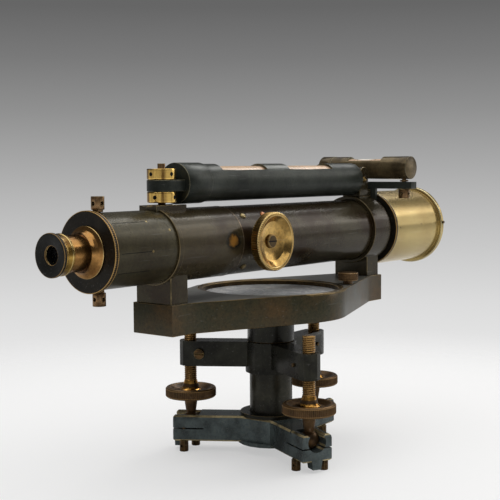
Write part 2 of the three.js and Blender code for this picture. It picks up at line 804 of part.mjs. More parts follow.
const lifter = piece('needle_lifter', turned([
  [0, -lifterStemLength],
  [lifterStemRadius, -lifterStemLength],
  [lifterStemRadius, runningGap],
  [lifterBossRadius, runningGap],
  [lifterBossRadius, lifterBossHeight],
  [lifterHeadRadius, lifterBossHeight],
  [lifterHeadRadius, lifterBossHeight + lifterHeadHeight],
  [0, lifterBossHeight + lifterHeadHeight],
], smallSides), wornBrass);
lifter.position.set(lifterX, lifterY, stageTop);

// The telescope's two standards; heights in this group are from the telescope's axis
const stageLevel = -axisRise;
const standardHalfWidth = standardWidth / 2;
const sleeveBore = sleeveRadius - sleeveWall;
const eyeStandardStart = -stageHalfLength + eyeStandardInset;
const eyePillar = block(
  [eyeStandardStart, eyeStandardStart + eyeStandardThickness],
  [-standardHalfWidth, standardHalfWidth],
  [stageLevel, -sleeveBore * sinkShare],
);
const studRoomBottom = padTop - studSeatDepth;
const eyePad = block([eyePadStart, eyePadEnd], [-eyePadWidth / 2, eyePadWidth / 2], [sleeveRadius * sinkShare, padTop]);
const sleeveBlank = alongX(turned([
  [0, sleeveStart],
  [bandRadius, sleeveStart],
  [bandRadius, sleeveStart + bandLength],
  [sleeveRadius, sleeveStart + bandLength],
  [sleeveRadius, sleeveEnd],
  [0, sleeveEnd],
], fineSides));
const sleeveRoom = alongX(rod(sleeveBore, eyePadStart - overrun, sleeveEnd + overrun, fineSides));
const studRoom = rod(studRadius + seatGap, studRoomBottom, padTop + overrun, tinySides).translate(studPlace, 0, 0);
const padRoom = alongX(rod(levelRimRadius + eyePadHollow, eyePadStart - overrun, eyePadEnd + overrun, roundSides));
padRoom.translate(0, 0, levelRise);
const padFoot = cut(eyePad, alongX(rod(eyeTubeRadius + seatGap, eyePadStart - overrun, sleeveStart, fineSides)), padRoom);
const eyeStandard = cut(joined(sleeveBlank, eyePillar, padFoot), sleeveRoom, studRoom);
piece('eye_standard', eyeStandard, oliveBronze, telescope);

const objectStandardEnd = stageHalfLength - objectStandardInset;
const objectPillar = block(
  [objectStandardEnd - objectStandardThickness, objectStandardEnd],
  [-standardHalfWidth, standardHalfWidth],
  [stageLevel, -barrelRadius * sinkShare],
);
const collarBlank = alongX(turned([
  [0, collarStart],
  [collarBeadRadius, collarStart],
  [collarBeadRadius, collarStart + collarBeadLength],
  [collarRadius, collarStart + collarBeadLength],
  [collarRadius, collarEnd],
  [0, collarEnd],
], fineSides));
const objectPad = block(
  [hingePostStart, hingePostEnd],
  [-hingePostWidth / 2, hingePostWidth / 2],
  [barrelRadius * sinkShare, padTop],
);
const collarRoom = alongX(rod(barrelRadius + seatGap, collarStart - overrun, collarEnd + overrun, fineSides));
piece('objective_standard', cut(joined(collarBlank, objectPillar, objectPad), collarRoom), oliveBronze, telescope);

// The barrel: a stepped tube soldered in the sleeve, with a guide land for the draw tube
const barrelEyeEnd = sleeveStart + bandLength + overrun;
const drawTubeGuide = drawTubeRadius + runningGap;
const barrelBody = alongX(turned([
  [barrelBore, barrelEyeEnd],
  [barrelSpigotRadius, barrelEyeEnd],
  [barrelSpigotRadius, sleeveEnd],
  [barrelRadius, sleeveEnd],
  [barrelRadius, barrelObjectEnd],
  [drawTubeGuide, barrelObjectEnd],
  [drawTubeGuide, barrelObjectEnd - guideLength],
  [barrelBore, barrelObjectEnd - guideLength],
], fineSides));
const coverScrewPlaces = [-coverScrewSpacing / 2, coverScrewSpacing / 2].flatMap((shift) => (
  [-coverScrewDegrees, coverScrewDegrees].map((degrees) => [pinionPlace + shift, radians(degrees)])
));
const outward = (geometry) => geometry.rotateX(quarterTurn);
const coverScrewSeat = barrelRadius + coverScrewProud - coverScrewHeadDepth;
const coverHoleTools = coverScrewPlaces.map(([place, turn]) => {
  const hole = turned([
    [0, drawTubeRadius],
    [coverScrewRadius + seatGap, drawTubeRadius],
    [coverScrewRadius + seatGap, coverScrewSeat - seatGap],
    [coverScrewHeadRadius + seatGap, coverScrewSeat - seatGap],
    [coverScrewHeadRadius + seatGap, barrelRadius + overrun],
    [0, barrelRadius + overrun],
  ], tinySides);
  return outward(hole).rotateX(turn).translate(place, 0, 0);
});
const bearingHole = outward(rod(bearingRadius + seatGap, 0, barrelRadius + overrun, smallSides));
bearingHole.translate(pinionPlace, 0, 0);
piece('barrel', cut(barrelBody, bearingHole, ...coverHoleTools), oliveBronze, telescope);

// The pinion's bearing: a saddle inside the barrel with a boss out through its side
const saddleOuter = barrelBore - seatGap;
const saddleInner = saddleOuter - saddleThickness;
const saddleHalfTurn = radians(saddleHalfDegrees);
const saddleOutline = [
  ...arc(0, 0, saddleOuter, halfTurn - saddleHalfTurn, halfTurn + saddleHalfTurn, 8),
  ...arc(0, 0, saddleInner, halfTurn + saddleHalfTurn, halfTurn - saddleHalfTurn, 8),
];
const saddle = prismAlongX(saddleOutline, pinionPlace - saddleHalfLength, pinionPlace + saddleHalfLength);
const bearingBoss = outward(rod(bearingRadius, saddleInner + saddleThickness * sinkShare, bearingEnd, smallSides));
const shaftHole = outward(rod(pinionShaftRadius + runningGap, 0, bearingEnd + overrun, smallSides));
bearingBoss.translate(pinionPlace, 0, 0);
shaftHole.translate(pinionPlace, 0, 0);
const saddleHoles = coverScrewPlaces.map(([place, turn]) => {
  const hole = rod(coverScrewRadius + seatGap, saddleInner - overrun, saddleOuter + overrun, tinySides);
  return outward(hole).rotateX(turn).translate(place, 0, 0);
});
piece('pinion_bearing', cut(joined(saddle, bearingBoss), shaftHole, ...saddleHoles), wornBrass, telescope);
const coverScrewTop = barrelRadius + coverScrewProud;
const coverScrew = outward(turned([
  [0, saddleInner + seatGap],
  [coverScrewRadius, saddleInner + seatGap],
  [coverScrewRadius, coverScrewSeat],
  [coverScrewHeadRadius, coverScrewSeat],
  [coverScrewHeadRadius, coverScrewTop],
  [0, coverScrewTop],
], tinySides));
coverScrewPlaces.forEach(([place, turn], i) => {
  const screw = piece(`cover_screw_${i + 1}`, coverScrew, brass, telescope);
  screw.position.x = place;
  screw.rotation.x = turn;
});

// The pinion, with straight-sided teeth, and the rack that it drives
const pinionRadius = toothModule * pinionTeeth / 2;
const toothPitch = toothModule * halfTurn;
const gearEnd = Math.sqrt(saddleInner ** 2 - (pinionRadius + toothAddendum) ** 2) - runningGap;
const gearOutline = Array.from({ length: pinionTeeth }, (_, i) => {
  const turn = -quarterTurn + (i + halfStep) * 2 * halfTurn / pinionTeeth;
  const rootTurn = toothRootWidth / 2 / (pinionRadius - toothDedendum);
  const tipTurn = toothTipWidth / 2 / (pinionRadius + toothAddendum);
  const at = (radius, angle) => [radius * Math.cos(angle), radius * Math.sin(angle)];
  return [
    at(pinionRadius - toothDedendum, turn - rootTurn),
    at(pinionRadius + toothAddendum, turn - tipTurn),
    at(pinionRadius + toothAddendum, turn + tipTurn),
    at(pinionRadius - toothDedendum, turn + rootTurn),
  ];
}).flat();
const shaftEnd = knobFace - knobFloorDepth - seatGap;
const pinionShaft = outward(rod(pinionShaftRadius, gearEnd - bite, shaftEnd, smallSides));
const gear = prismAlongY(gearOutline, -gearEnd, -gearEnd + pinionLength);
const knobScrewHole = outward(rod(knobScrewRadius + seatGap, shaftEnd - knobScrewLength, knobFace, tinySides));
const pinion = piece('pinion', cut(joined(gear, pinionShaft), knobScrewHole), steel, telescope);
pinion.position.x = pinionPlace;

const rackTeeth = Math.ceil((focusTravel + 2 * pinionRadius) / toothPitch) + 2;
const rackRoot = -pinionRadius - toothDedendum;
const rackTip = -pinionRadius + toothAddendum;
const rackToothPlace = (i) => pinionPlace + (2 - i) * toothPitch;
const rackOutline = [
  [rackToothPlace(0) + toothPitch, rackRoot],
  ...Array.from({ length: rackTeeth }, (_, i) => [
    [rackToothPlace(i) + toothRootWidth / 2, rackRoot],
    [rackToothPlace(i) + toothTipWidth / 2, rackTip],
    [rackToothPlace(i) - toothTipWidth / 2, rackTip],
    [rackToothPlace(i) - toothRootWidth / 2, rackRoot],
  ]).flat(),
  [rackToothPlace(rackTeeth), rackRoot],
  [rackToothPlace(rackTeeth), rackRoot - rackFoot],
  [rackToothPlace(0) + toothPitch, rackRoot - rackFoot],
];
const rackOuter = -drawTubeRadius + rackInset;
const rackBar = prismAlongY(rackOutline, rackOuter, rackOuter + rackDepth);
const drawTubeEnd = objectFlangeStart + drawTubeEngagement;
const drawTubeBore = drawTubeRadius - drawTubeWall;
const drawTubeBody = alongX(turned([
  [drawTubeBore, drawTubeStart],
  [barrelBore - runningGap, drawTubeStart],
  [barrelBore - runningGap, drawTubeStart + drawTubeCollarLength],
  [drawTubeRadius, drawTubeStart + drawTubeCollarLength],
  [drawTubeRadius, drawTubeEnd],
  [drawTubeBore, drawTubeEnd],
], fineSides));
const tubeEnvelope = alongX(rod(drawTubeRadius - rackInset, drawTubeStart, drawTubeEnd, fineSides));
const rack = geometryOf(solidOf(rackBar).intersect(solidOf(tubeEnvelope)));
const rackWindow = block(
  [rackToothPlace(rackTeeth), rackToothPlace(0) + toothPitch],
  [-drawTubeRadius - overrun, 0],
  [-windowHalfHeight, windowHalfHeight],
);
piece('draw_tube', joined(cut(drawTubeBody, rackWindow), rack), brass, telescope);

// Focusing knob: a knurled disc with a dished face, held by a slotted screw
piece('focus_knob', outward(turned([
  [pinionShaftRadius + seatGap, bearingEnd + runningGap],
  [knobBossRadius, bearingEnd + runningGap],
  [knobBossRadius, knobFace - knobRim],
  [knobRadius - knobChamfer, knobFace - knobRim],
  [knobRadius, knobFace - knobRim + knobChamfer],
  [knobRadius, knobFace - knobChamfer],
  [knobRadius - knobChamfer, knobFace],
  [knobRadius - knobLipWidth, knobFace],
  [knobDishRadius, knobFace - knobDishDepth],
  [knobFloorRadius, knobFace - knobFloorDepth],
  [pinionShaftRadius + seatGap, knobFace - knobFloorDepth],
], fineSides)).translate(pinionPlace, 0, 0), brass, telescope);
const knobScrewFace = knobFace - knobFloorDepth + knobScrewHeadHeight;
const knobScrewBody = outward(turned([
  [0, shaftEnd - knobScrewLength + seatGap],
  [knobScrewRadius, shaftEnd - knobScrewLength + seatGap],
  [knobScrewRadius, knobFace - knobFloorDepth],
  [knobScrewHeadRadius, knobFace - knobFloorDepth],
  [knobScrewHeadRadius, knobScrewFace],
  [0, knobScrewFace],
], smallSides));
const knobScrewSlot = block(
  [-knobScrewHeadRadius - overrun, knobScrewHeadRadius + overrun],
  [-knobScrewFace - overrun, -knobScrewFace + knobScrewSlotDepth],
  [-knobScrewSlotWidth / 2, knobScrewSlotWidth / 2],
);
piece('knob_screw', cut(knobScrewBody, knobScrewSlot).translate(pinionPlace, 0, 0), blackBronze, telescope);

// Objective: a flanged cell on the draw tube, its lens, and the ray shade that slides on the cell
const shadeBore = objectHeadRadius - shadeWall;
const cellRadius = shadeBore - runningGap;
const flangeEnd = objectFlangeStart + objectFlangeThickness;
const cellEnd = flangeEnd + cellLength;
const lensSeat = cellEnd - cellLensRoom;
piece('objective_cell', alongX(turned([
  [drawTubeRadius + seatGap, objectFlangeStart],
  [objectHeadRadius, objectFlangeStart],
  [objectHeadRadius, flangeEnd],
  [cellRadius, flangeEnd],
  [cellRadius, cellEnd],
  [lensRadius + seatGap, cellEnd],
  [lensRadius + seatGap, lensSeat],
  [cellBore, lensSeat],
  [cellBore, drawTubeEnd + overrun],
  [drawTubeBore, drawTubeEnd + seatGap],
  [drawTubeRadius + seatGap, drawTubeEnd + seatGap],
], fineSides)), blackBronze, telescope);
const lensFace = lensSeat + seatGap;
piece('objective_lens', alongX(turned([
  [0, lensFace + lensBulge],
  [cellBore, lensFace],
  [lensRadius, lensFace],
  [lensRadius, lensFace + lensThickness - lensBulge],
  [lensRadius / 2, lensFace + lensThickness - lensBulge / 4],
  [0, lensFace + lensThickness],
], roundSides)), glass, telescope);
piece('ray_shade', alongX(turned([
  [shadeBore, flangeEnd + shadeTail],
  [objectHeadRadius, flangeEnd + shadeTail],
  [objectHeadRadius, shadeEnd],
  [shadeLipRadius, shadeEnd],
  [shadeLipRadius, shadeEnd + shadeLipLength],
  [shadeBore, shadeEnd + shadeLipLength],
], fineSides)), paleBrass, telescope);

// Eye end: eye tube, eye plate, eyepiece socket and the sliding eyepiece
const diaphragmHoles = [0, halfTurn].map((turn) => (
  rod(diaphragmScrewRadius + seatGap, eyeTubeBore - overrun, eyeTubeRadius + overrun, tinySides)
    .rotateX(turn).translate(diaphragmPlace, 0, 0)
));
const eyeSpigotRadius = barrelSpigotRadius;
piece('eye_tube', cut(alongX(turned([
  [eyeTubeBore, eyeTubeStart],
  [eyeTubeRadius, eyeTubeStart],
  [eyeTubeRadius, sleeveStart],
  [eyeSpigotRadius, sleeveStart],
  [eyeSpigotRadius, sleeveStart + eyeTubeSpigot],
  [eyeTubeBore, sleeveStart + eyeTubeSpigot],
], fineSides)), ...diaphragmHoles), oliveBronze, telescope);
const eyePlateStart = eyeTubeStart - eyePlateThickness;
piece('eye_plate', alongX(turned([
  [eyeSocketThreadRadius + seatGap, eyePlateStart],
  [eyePlateRadius, eyePlateStart],
  [eyePlateRadius, eyeTubeStart],
  [eyeTubeBore - seatGap, eyeTubeStart],
  [eyeTubeBore - seatGap, eyeTubeStart + eyePlateSpigot],
  [eyeSocketThreadRadius + seatGap, eyeTubeStart + eyePlateSpigot],
], fineSides)), blackBronze, telescope);
const flangeFace = eyePlateStart - eyeSocketFlangeThickness;
piece('eyepiece_socket', alongX(turned([
  [eyeSocketBore, eyeSocketEnd],
  [eyeSocketRadius, eyeSocketEnd],
  [eyeSocketRadius, flangeFace - eyeSocketNeck],
  [eyeSocketFlareRadius, flangeFace - eyeSocketFlareLength],
  [eyeSocketFlangeRadius, flangeFace],
  [eyeSocketFlangeRadius, eyePlateStart],
  [eyeSocketThreadRadius, eyePlateStart],
  [eyeSocketThreadRadius, eyeTubeStart + eyePlateSpigot],
  [eyeSocketBore, eyeTubeStart + eyePlateSpigot],
], roundSides)), brass, telescope);
const eyepieceStart = eyeSocketEnd - runningGap;
const eyepieceFace = eyepieceStart - eyepieceHeadLength;
const eyepieceTubeRadius = eyeSocketBore - runningGap;
piece('eyepiece_barrel', alongX(turned([
  [eyepieceBore, eyepieceStart + eyepieceTubeLength],
  [eyepieceTubeRadius, eyepieceStart + eyepieceTubeLength],
  [eyepieceTubeRadius, eyepieceStart],
  [eyepieceHeadRadius - eyepieceHeadChamfer, eyepieceStart],
  [eyepieceHeadRadius, eyepieceStart - eyepieceHeadChamfer],
  [eyepieceHeadRadius, eyepieceFace],
  [eyeHoleRadius, eyepieceFace],
  [eyeHoleRadius, eyepieceFace + eyeShoulder],
  [eyepieceBore, eyepieceFace + eyeShoulder],
], roundSides)), brass, telescope);
const eyecupFace = eyepieceFace - eyecupThickness;
piece('eyecup', alongX(turned([
  [eyeHoleRadius, eyepieceFace],
  [eyecupRadius, eyepieceFace],
  [eyecupRadius, eyecupFace],
  [eyecupRadius - eyecupRimWidth, eyecupFace],
  [eyeHoleRadius, eyecupFace + eyecupDish],
], roundSides)), blackBronze, telescope);
const eyeLensFace = eyepieceFace + eyeShoulder + seatGap;
piece('eye_lens', alongX(rod(eyepieceBore - seatGap, eyeLensFace, eyeLensFace + eyeLensThickness, roundSides)), glass, telescope);

// Diaphragm ring, hung inside the eye tube between two capstan screws
const screwSeatRadius = diaphragmRadius - diaphragmScrewSeat;
const ringHoles = [0, halfTurn].map((turn) => (
  rod(diaphragmScrewRadius + seatGap, screwSeatRadius - seatGap, diaphragmRadius + overrun, tinySides)
    .rotateX(turn).translate(diaphragmPlace, 0, 0)
));
const ringStart = diaphragmPlace - diaphragmThickness / 2;
const ringBody = alongX(tube(diaphragmRadius, diaphragmBore, ringStart, ringStart + diaphragmThickness, roundSides));
piece('diaphragm_ring', cut(ringBody, ...ringHoles), brass, telescope);
const capstanFoot = eyeTubeRadius + seatGap;
const capstanBody = turned([
  [0, screwSeatRadius],
  [diaphragmScrewRadius, screwSeatRadius],
  [diaphragmScrewRadius, capstanFoot],
  [diaphragmHeadNeck, capstanFoot],
  [diaphragmHeadNeck, capstanFoot + diaphragmHeadNeckHeight],
  [diaphragmHeadRadius, capstanFoot + diaphragmHeadNeckHeight],
  [diaphragmHeadRadius, capstanFoot + diaphragmHeadHeight],
  [0, capstanFoot + diaphragmHeadHeight],
], smallSides);
const capstanCross = () => rod(diaphragmHole, -diaphragmHeadRadius - overrun, diaphragmHeadRadius + overrun, tinySides);
const capstanHoleHeight = capstanFoot + diaphragmHoleRise;
const capstan = cut(
  capstanBody,
  alongX(capstanCross()).translate(0, 0, capstanHoleHeight),
  alongY(capstanCross()).translate(0, 0, capstanHoleHeight),
);
const topCapstan = piece('diaphragm_screw_top', capstan, brass, telescope);
topCapstan.position.x = diaphragmPlace;
const bottomCapstan = piece('diaphragm_screw_bottom', capstan, brass, telescope);
bottomCapstan.position.x = diaphragmPlace;
bottomCapstan.rotation.x = halfTurn;

// The main level above the telescope: stud and nuts at the eye end, hinge post at the object end
const mainLevel = new THREE.Group();
mainLevel.position.z = axisHeight + levelRise;
level.add(mainLevel);
const padLevel = padTop - levelRise;
const lugHalfThickness = levelLugThickness / 2;
const lugMiddle = -levelLugDrop;
const studFoot = padLevel - studSeatDepth + seatGap;
const studBody = rod(studRadius, studFoot, studTop, smallSides);
const studSlot = block(
  [-studRadius - overrun, studRadius + overrun],
  [-studSlotWidth / 2, studSlotWidth / 2],
  [studTop - studSlotDepth, studTop + overrun],
);
piece('level_stud', cut(studBody, studSlot).translate(studPlace, 0, 0), brass, mainLevel);
const levelNutBody = turned([
  [studRadius + seatGap, 0],
  [levelNutRadius - levelNutChamfer, 0],
  [levelNutRadius, levelNutChamfer],
  [levelNutRadius, levelNutThickness - levelNutChamfer],
  [levelNutRadius - levelNutChamfer, levelNutThickness],
  [studRadius + seatGap, levelNutThickness],
], roundSides);
const nutHoles = Array.from({ length: 4 }, (_, i) => {
  const hole = alongX(rod(levelNutHole, levelNutRadius - levelNutHoleDepth, levelNutRadius + overrun, tinySides));
  return hole.translate(0, 0, levelNutThickness / 2).rotateZ((i + halfStep) * quarterTurn);
});
const levelNut = cut(levelNutBody, ...nutHoles);
const topNut = piece('level_nut_top', levelNut, brass, mainLevel);
topNut.position.set(studPlace, 0, lugMiddle + lugHalfThickness + levelNutGap);
const bottomNut = piece('level_nut_bottom', levelNut, brass, mainLevel);
bottomNut.position.set(studPlace, 0, lugMiddle - lugHalfThickness - levelNutGap - levelNutThickness);

const windowTools = levelWindows.map(([from, to]) => block(
  [from, to],
  [-levelCaseRadius - overrun, levelCaseRadius + overrun],
  [levelWindowSill, levelCaseRadius + overrun],
));
const caseBody = alongX(turned([
  [0, levelCaseStart],
  [levelRimRadius, levelCaseStart],
  [levelRimRadius, levelCaseStart + levelRimLength],
  [levelCaseRadius, levelCaseStart + levelRimLength],
  [levelCaseRadius, levelCaseEnd],
  [0, levelCaseEnd],
], fineSides));
const levelCaseBore = alongX(rod(levelBore, levelCaseStart + levelEndWall, levelCaseEnd - levelEndWall, fineSides));
const lugHalfWidth = levelLugWidth / 2;
const lugOutline = [
  [levelCaseStart + bite, -lugHalfWidth],
  [levelCaseStart + bite, lugHalfWidth],
  ...arc(studPlace, 0, lugHalfWidth, quarterTurn, quarterTurn + halfTurn, 12),
];
const levelLug = prism(lugOutline, lugMiddle - lugHalfThickness, lugMiddle + lugHalfThickness);
const studHole = rod(studRadius + studHoleGap, lugMiddle - levelLugThickness, lugMiddle + levelLugThickness, smallSides);
studHole.translate(studPlace, 0, 0);
const hingeTongueHalf = hingeSlotWidth / 2 - runningGap;
const tongueRadius = hingeEarRadius - runningGap;
const tongueOutline = [
  [levelCaseEnd - bite, -tongueRadius],
  ...arc(hingePlace, 0, tongueRadius, -quarterTurn, quarterTurn, 10),
  [levelCaseEnd - bite, tongueRadius],
];
const tongue = prismAlongY(tongueOutline, -hingeTongueHalf, hingeTongueHalf);
const pinRoom = alongY(rod(hingePinRadius + runningGap, -hingePostWidth, hingePostWidth, smallSides));
pinRoom.translate(hingePlace, 0, 0);
const levelCase = cut(joined(caseBody, levelLug, tongue), levelCaseBore, studHole, pinRoom, ...windowTools);
piece('level_case', levelCase, greenBlack, mainLevel);
const vialStart = levelCaseStart + levelEndWall + seatGap;
const vialEnd = levelCaseEnd - levelEndWall - seatGap;
piece('level_vial', alongX(rod(levelBore - seatGap, vialStart, vialEnd, roundSides)), vialGlass, mainLevel);

// Hinge post: a fork on the objective collar's pad, with its pin
const postHalfWidth = hingePostWidth / 2;
const postOutline = [
  [hingePostStart, padLevel],
  [hingePostEnd, padLevel],
  [hingePostEnd, padLevel + hingePostBase],
  [hingePlace + hingeEarRadius, padLevel + hingePostBase],
  ...arc(hingePlace, hingeEarTop - hingeEarRadius, hingeEarRadius, 0, halfTurn, 10),
  [hingePlace - hingeEarRadius, padLevel + hingePostBase],
  [hingePostStart, padLevel + hingePostBase],
];
const postSlot = block(
  [hingePostStart - overrun, hingePostEnd + overrun],
  [-hingeSlotWidth / 2, hingeSlotWidth / 2],
  [padLevel + hingePostBase, hingeEarTop + overrun],
);
const earHole = alongY(rod(hingePinRadius + seatGap / 2, -hingePostWidth, hingePostWidth, smallSides));
earHole.translate(hingePlace, 0, 0);
const post = prismAlongY(postOutline, -postHalfWidth, postHalfWidth);
piece('level_hinge_post', cut(post, postSlot, earHole), oliveBronze, mainLevel);
const pinHalf = postHalfWidth + hingePinHead;
piece('level_hinge_pin', alongY(rod(hingePinRadius, -pinHalf, pinHalf, smallSides)).translate(hingePlace, 0, 0), brass, mainLevel);

// Bracket on the collar's face, with an arm across for the cross level
const armTop = bracketArmBottom + bracketArmThickness;
const bracketPlate = block(
  [bracketStart, bracketStart + bracketPlateThickness],
  [-bracketPlateHalfWidth, bracketPlateHalfWidth],
  [bracketPlateBottom, bracketArmBottom + bite],
);
const bracketArm = block([bracketStart, bracketArmEnd], [bracketArmNear, bracketArmFar], [bracketArmBottom, armTop]);
const crossMiddle = (bracketStart + bracketArmEnd) / 2;
const lugRoom = block(
  [crossMiddle - crossLugWidth / 2 - runningGap, crossMiddle + crossLugWidth / 2 + runningGap],
  [crossPivotPlace - crossLugLength / 2 - crossLugGap, crossPivotPlace + crossLugLength / 2 + crossLugGap],
  [bracketArmBottom - overrun, armTop + overrun],
);
const pivotHeightInArm = (bracketArmBottom + armTop) / 2;
const crossScrewRoom = rod(crossScrewRadius + runningGap, bracketArmBottom - overrun, armTop + overrun, smallSides);
crossScrewRoom.translate(crossMiddle, crossScrewPlace, 0);
const pivotPin = alongX(rod(crossPivotRadius, bracketStart + bite, bracketArmEnd - bite, tinySides));
pivotPin.translate(0, crossPivotPlace, pivotHeightInArm);
const bracketCut = cut(joined(bracketPlate, bracketArm), lugRoom, crossScrewRoom);
piece('cross_bracket', joined(bracketCut, pivotPin), greenBlack, telescope);

// The cross level: a capped case hinged on the bracket's pin and raised by a capstan screw
const crossBottom = crossRise - crossCaseRadius;
const crossScrewTop = crossBottom + crossScrewReach;
const crossBody = alongY(turned([
  [0, crossCaseStart],
  [crossCaseRadius, crossCaseStart],
  [crossCaseRadius, crossCaseEnd - crossCapLength],
  [crossCapRadius, crossCaseEnd - crossCapLength],
  [crossCapRadius, crossCaseEnd],
  [0, crossCaseEnd],
], roundSides)).translate(crossPlace, 0, crossRise);
const crossLug = block(
  [crossMiddle - crossLugWidth / 2, crossMiddle + crossLugWidth / 2],
  [crossPivotPlace - crossLugLength / 2, crossPivotPlace + crossLugLength / 2],
  [bracketArmBottom + runningGap, crossBottom + overrun],
);
const crossVialRoom = alongY(rod(crossBore, -crossBoreHalfLength, crossBoreHalfLength, roundSides));
crossVialRoom.translate(crossPlace, 0, crossRise);
const crossWindowTool = block(
  [crossPlace - crossCaseRadius - overrun, crossPlace + crossCaseRadius + overrun],
  crossWindow,
  [crossRise + crossWindowSill, crossRise + crossCaseRadius + overrun],
);
const crossPinRoom = alongX(rod(crossPivotRadius + runningGap, bracketStart, bracketArmEnd, tinySides));
crossPinRoom.translate(0, crossPivotPlace, pivotHeightInArm);
const crossStemRoom = rod(crossScrewRadius + runningGap, crossBottom - overrun, crossScrewTop + crossScrewPlay, tinySides);
crossStemRoom.translate(crossMiddle, crossScrewPlace, 0);
const crossCase = cut(joined(crossBody, crossLug), crossVialRoom, crossWindowTool, crossPinRoom, crossStemRoom);
piece('cross_level_case', crossCase, oliveBronze, telescope);
const crossVialHalf = crossBoreHalfLength - seatGap;
const crossVial = alongY(rod(crossBore - seatGap, -crossVialHalf, crossVialHalf, roundSides));
piece('cross_vial', crossVial.translate(crossPlace, 0, crossRise), vialGlass, telescope);
const crossHeadTop = bracketArmBottom - runningGap;
const crossCollarBottom = armTop + runningGap;
const crossScrewBody = turned([
  [0, crossHeadTop - crossScrewHeadHeight],
  [crossScrewHeadRadius, crossHeadTop - crossScrewHeadHeight],
  [crossScrewHeadRadius, crossHeadTop],
  [crossScrewRadius, crossHeadTop],
  [crossScrewRadius, crossCollarBottom],
  [crossScrewCollarRadius, crossCollarBottom],
  [crossScrewCollarRadius, crossCollarBottom + crossScrewCollarHeight],
  [crossScrewRadius, crossCollarBottom + crossScrewCollarHeight],
  [crossScrewRadius, crossScrewTop],
  [0, crossScrewTop],
], smallSides);
const crossCapstanTools = [alongX, alongY].map((lay) => {
  const hole = lay(rod(crossScrewHole, -crossScrewHeadRadius - overrun, crossScrewHeadRadius + overrun, tinySides));
  return hole.translate(0, 0, crossHeadTop - crossScrewHeadHeight / 2);
});
const crossScrew = piece('cross_level_screw', cut(crossScrewBody, ...crossCapstanTools), brass, telescope);
crossScrew.position.set(crossMiddle, crossScrewPlace, 0);

export default level;
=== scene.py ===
import functools
import json
import math

import bmesh
import bpy
import numpy as np
from mathutils import Matrix, Vector


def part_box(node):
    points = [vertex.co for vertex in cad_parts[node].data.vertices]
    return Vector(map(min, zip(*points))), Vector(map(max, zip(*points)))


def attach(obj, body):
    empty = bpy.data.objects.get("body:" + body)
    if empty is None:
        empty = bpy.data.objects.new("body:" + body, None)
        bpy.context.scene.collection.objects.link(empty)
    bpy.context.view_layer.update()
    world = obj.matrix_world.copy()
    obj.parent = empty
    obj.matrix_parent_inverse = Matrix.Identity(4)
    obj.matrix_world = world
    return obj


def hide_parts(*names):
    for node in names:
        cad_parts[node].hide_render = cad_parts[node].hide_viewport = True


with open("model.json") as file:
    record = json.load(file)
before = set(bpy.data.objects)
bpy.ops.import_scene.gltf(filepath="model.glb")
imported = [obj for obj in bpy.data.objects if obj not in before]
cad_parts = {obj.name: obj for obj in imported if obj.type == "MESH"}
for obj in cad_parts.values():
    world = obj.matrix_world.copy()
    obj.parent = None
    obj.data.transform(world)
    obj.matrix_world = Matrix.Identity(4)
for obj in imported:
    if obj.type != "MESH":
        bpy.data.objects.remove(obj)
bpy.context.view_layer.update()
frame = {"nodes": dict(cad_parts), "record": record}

# The room: a pale table that fades into an even grey wall, dark above and light below.
# The table is matt white board that looks much darker in the metal than to the eye: a painted dark reflection
# that shades the metal's lower halves, as in the photograph.
camera_place = Vector((-0.60328, -0.47281, 0.20559))
yaw, pitch, roll = math.radians(39.166), math.radians(4.431), math.radians(-0.362)
look = Vector((math.cos(yaw) * math.cos(pitch), math.sin(yaw) * math.cos(pitch), -math.sin(pitch)))
level_right = Vector((math.sin(yaw), -math.cos(yaw), 0.0))
level_up = level_right.cross(look)
right = level_right * math.cos(roll) + level_up * math.sin(roll)
up = level_up * math.cos(roll) - level_right * math.sin(roll)
camera_data = bpy.data.cameras.new("view")
camera_data.lens = 77.95
camera_data.sensor_width = 36.0
camera_data.clip_start = 0.01
camera = bpy.data.objects.new("view", camera_data)
turn = Matrix((right, up, -look)).transposed().to_4x4()
camera.matrix_world = Matrix.Translation(camera_place) @ turn
bpy.context.scene.collection.objects.link(camera)
bpy.context.scene.camera = camera
bpy.context.scene.view_settings.view_transform = "Standard"


def linear(*levels):
    """Screen levels from 0 to 255 as linear light, by the usual two-part curve."""
    share = [level / 255.0 for level in levels]
    light = [s / 12.92 if s <= 0.04045 else ((s + 0.055) / 1.055) ** 2.4 for s in share]
    return (*light, 1.0)


def put(tree, kind, *feeds, **values):
    """A new shader node. Feeds go to its first inputs in order, values to inputs or settings by name.

    Another node's output is linked, None leaves an input alone, and anything else is set.
    """
    node = tree.nodes.new("ShaderNode" + kind)
    wanted = dict(enumerate(feeds))
    for key, value in values.items():
        socket = key.replace("_", " ")
        if socket in node.inputs:
            wanted[socket] = value
        else:
            setattr(node, key, value)
    for key, value in wanted.items():
        if isinstance(value, bpy.types.NodeSocket):
            tree.links.new(value, node.inputs[key])
        elif value is not None:
            node.inputs[key].default_value = value
    return node


def maths(tree, act, *feeds):
    """The result of a Math node."""
    return put(tree, "Math", *feeds, operation=act).outputs[0]


def mixed(tree, share, one, two, way="MIX"):
    """Two colours mixed by a share. The Mix node has its colours in inputs 6 and 7 and output 2."""
    return put(tree, "Mix", share, *[None] * 5, one, two, data_type="RGBA", blend_type=way).outputs[2]


def blended(tree, share, one, two):
    """Two shaders mixed by a share."""
    return put(tree, "MixShader", share, one, two).outputs[0]


def ramp(tree, feed, *stops):
    """The colour of a colour ramp whose stops are (place, colour), where a plain number is a grey."""
    node = put(tree, "ValToRGB", feed)
    elements = node.color_ramp.elements
    while len(elements) < len(stops):
        elements.new(0.5)
    for element, (place, colour) in zip(elements, stops):
        element.position = place
        element.color = colour if isinstance(colour, tuple) else (colour, colour, colour, 1.0)
    return node.outputs["Color"]


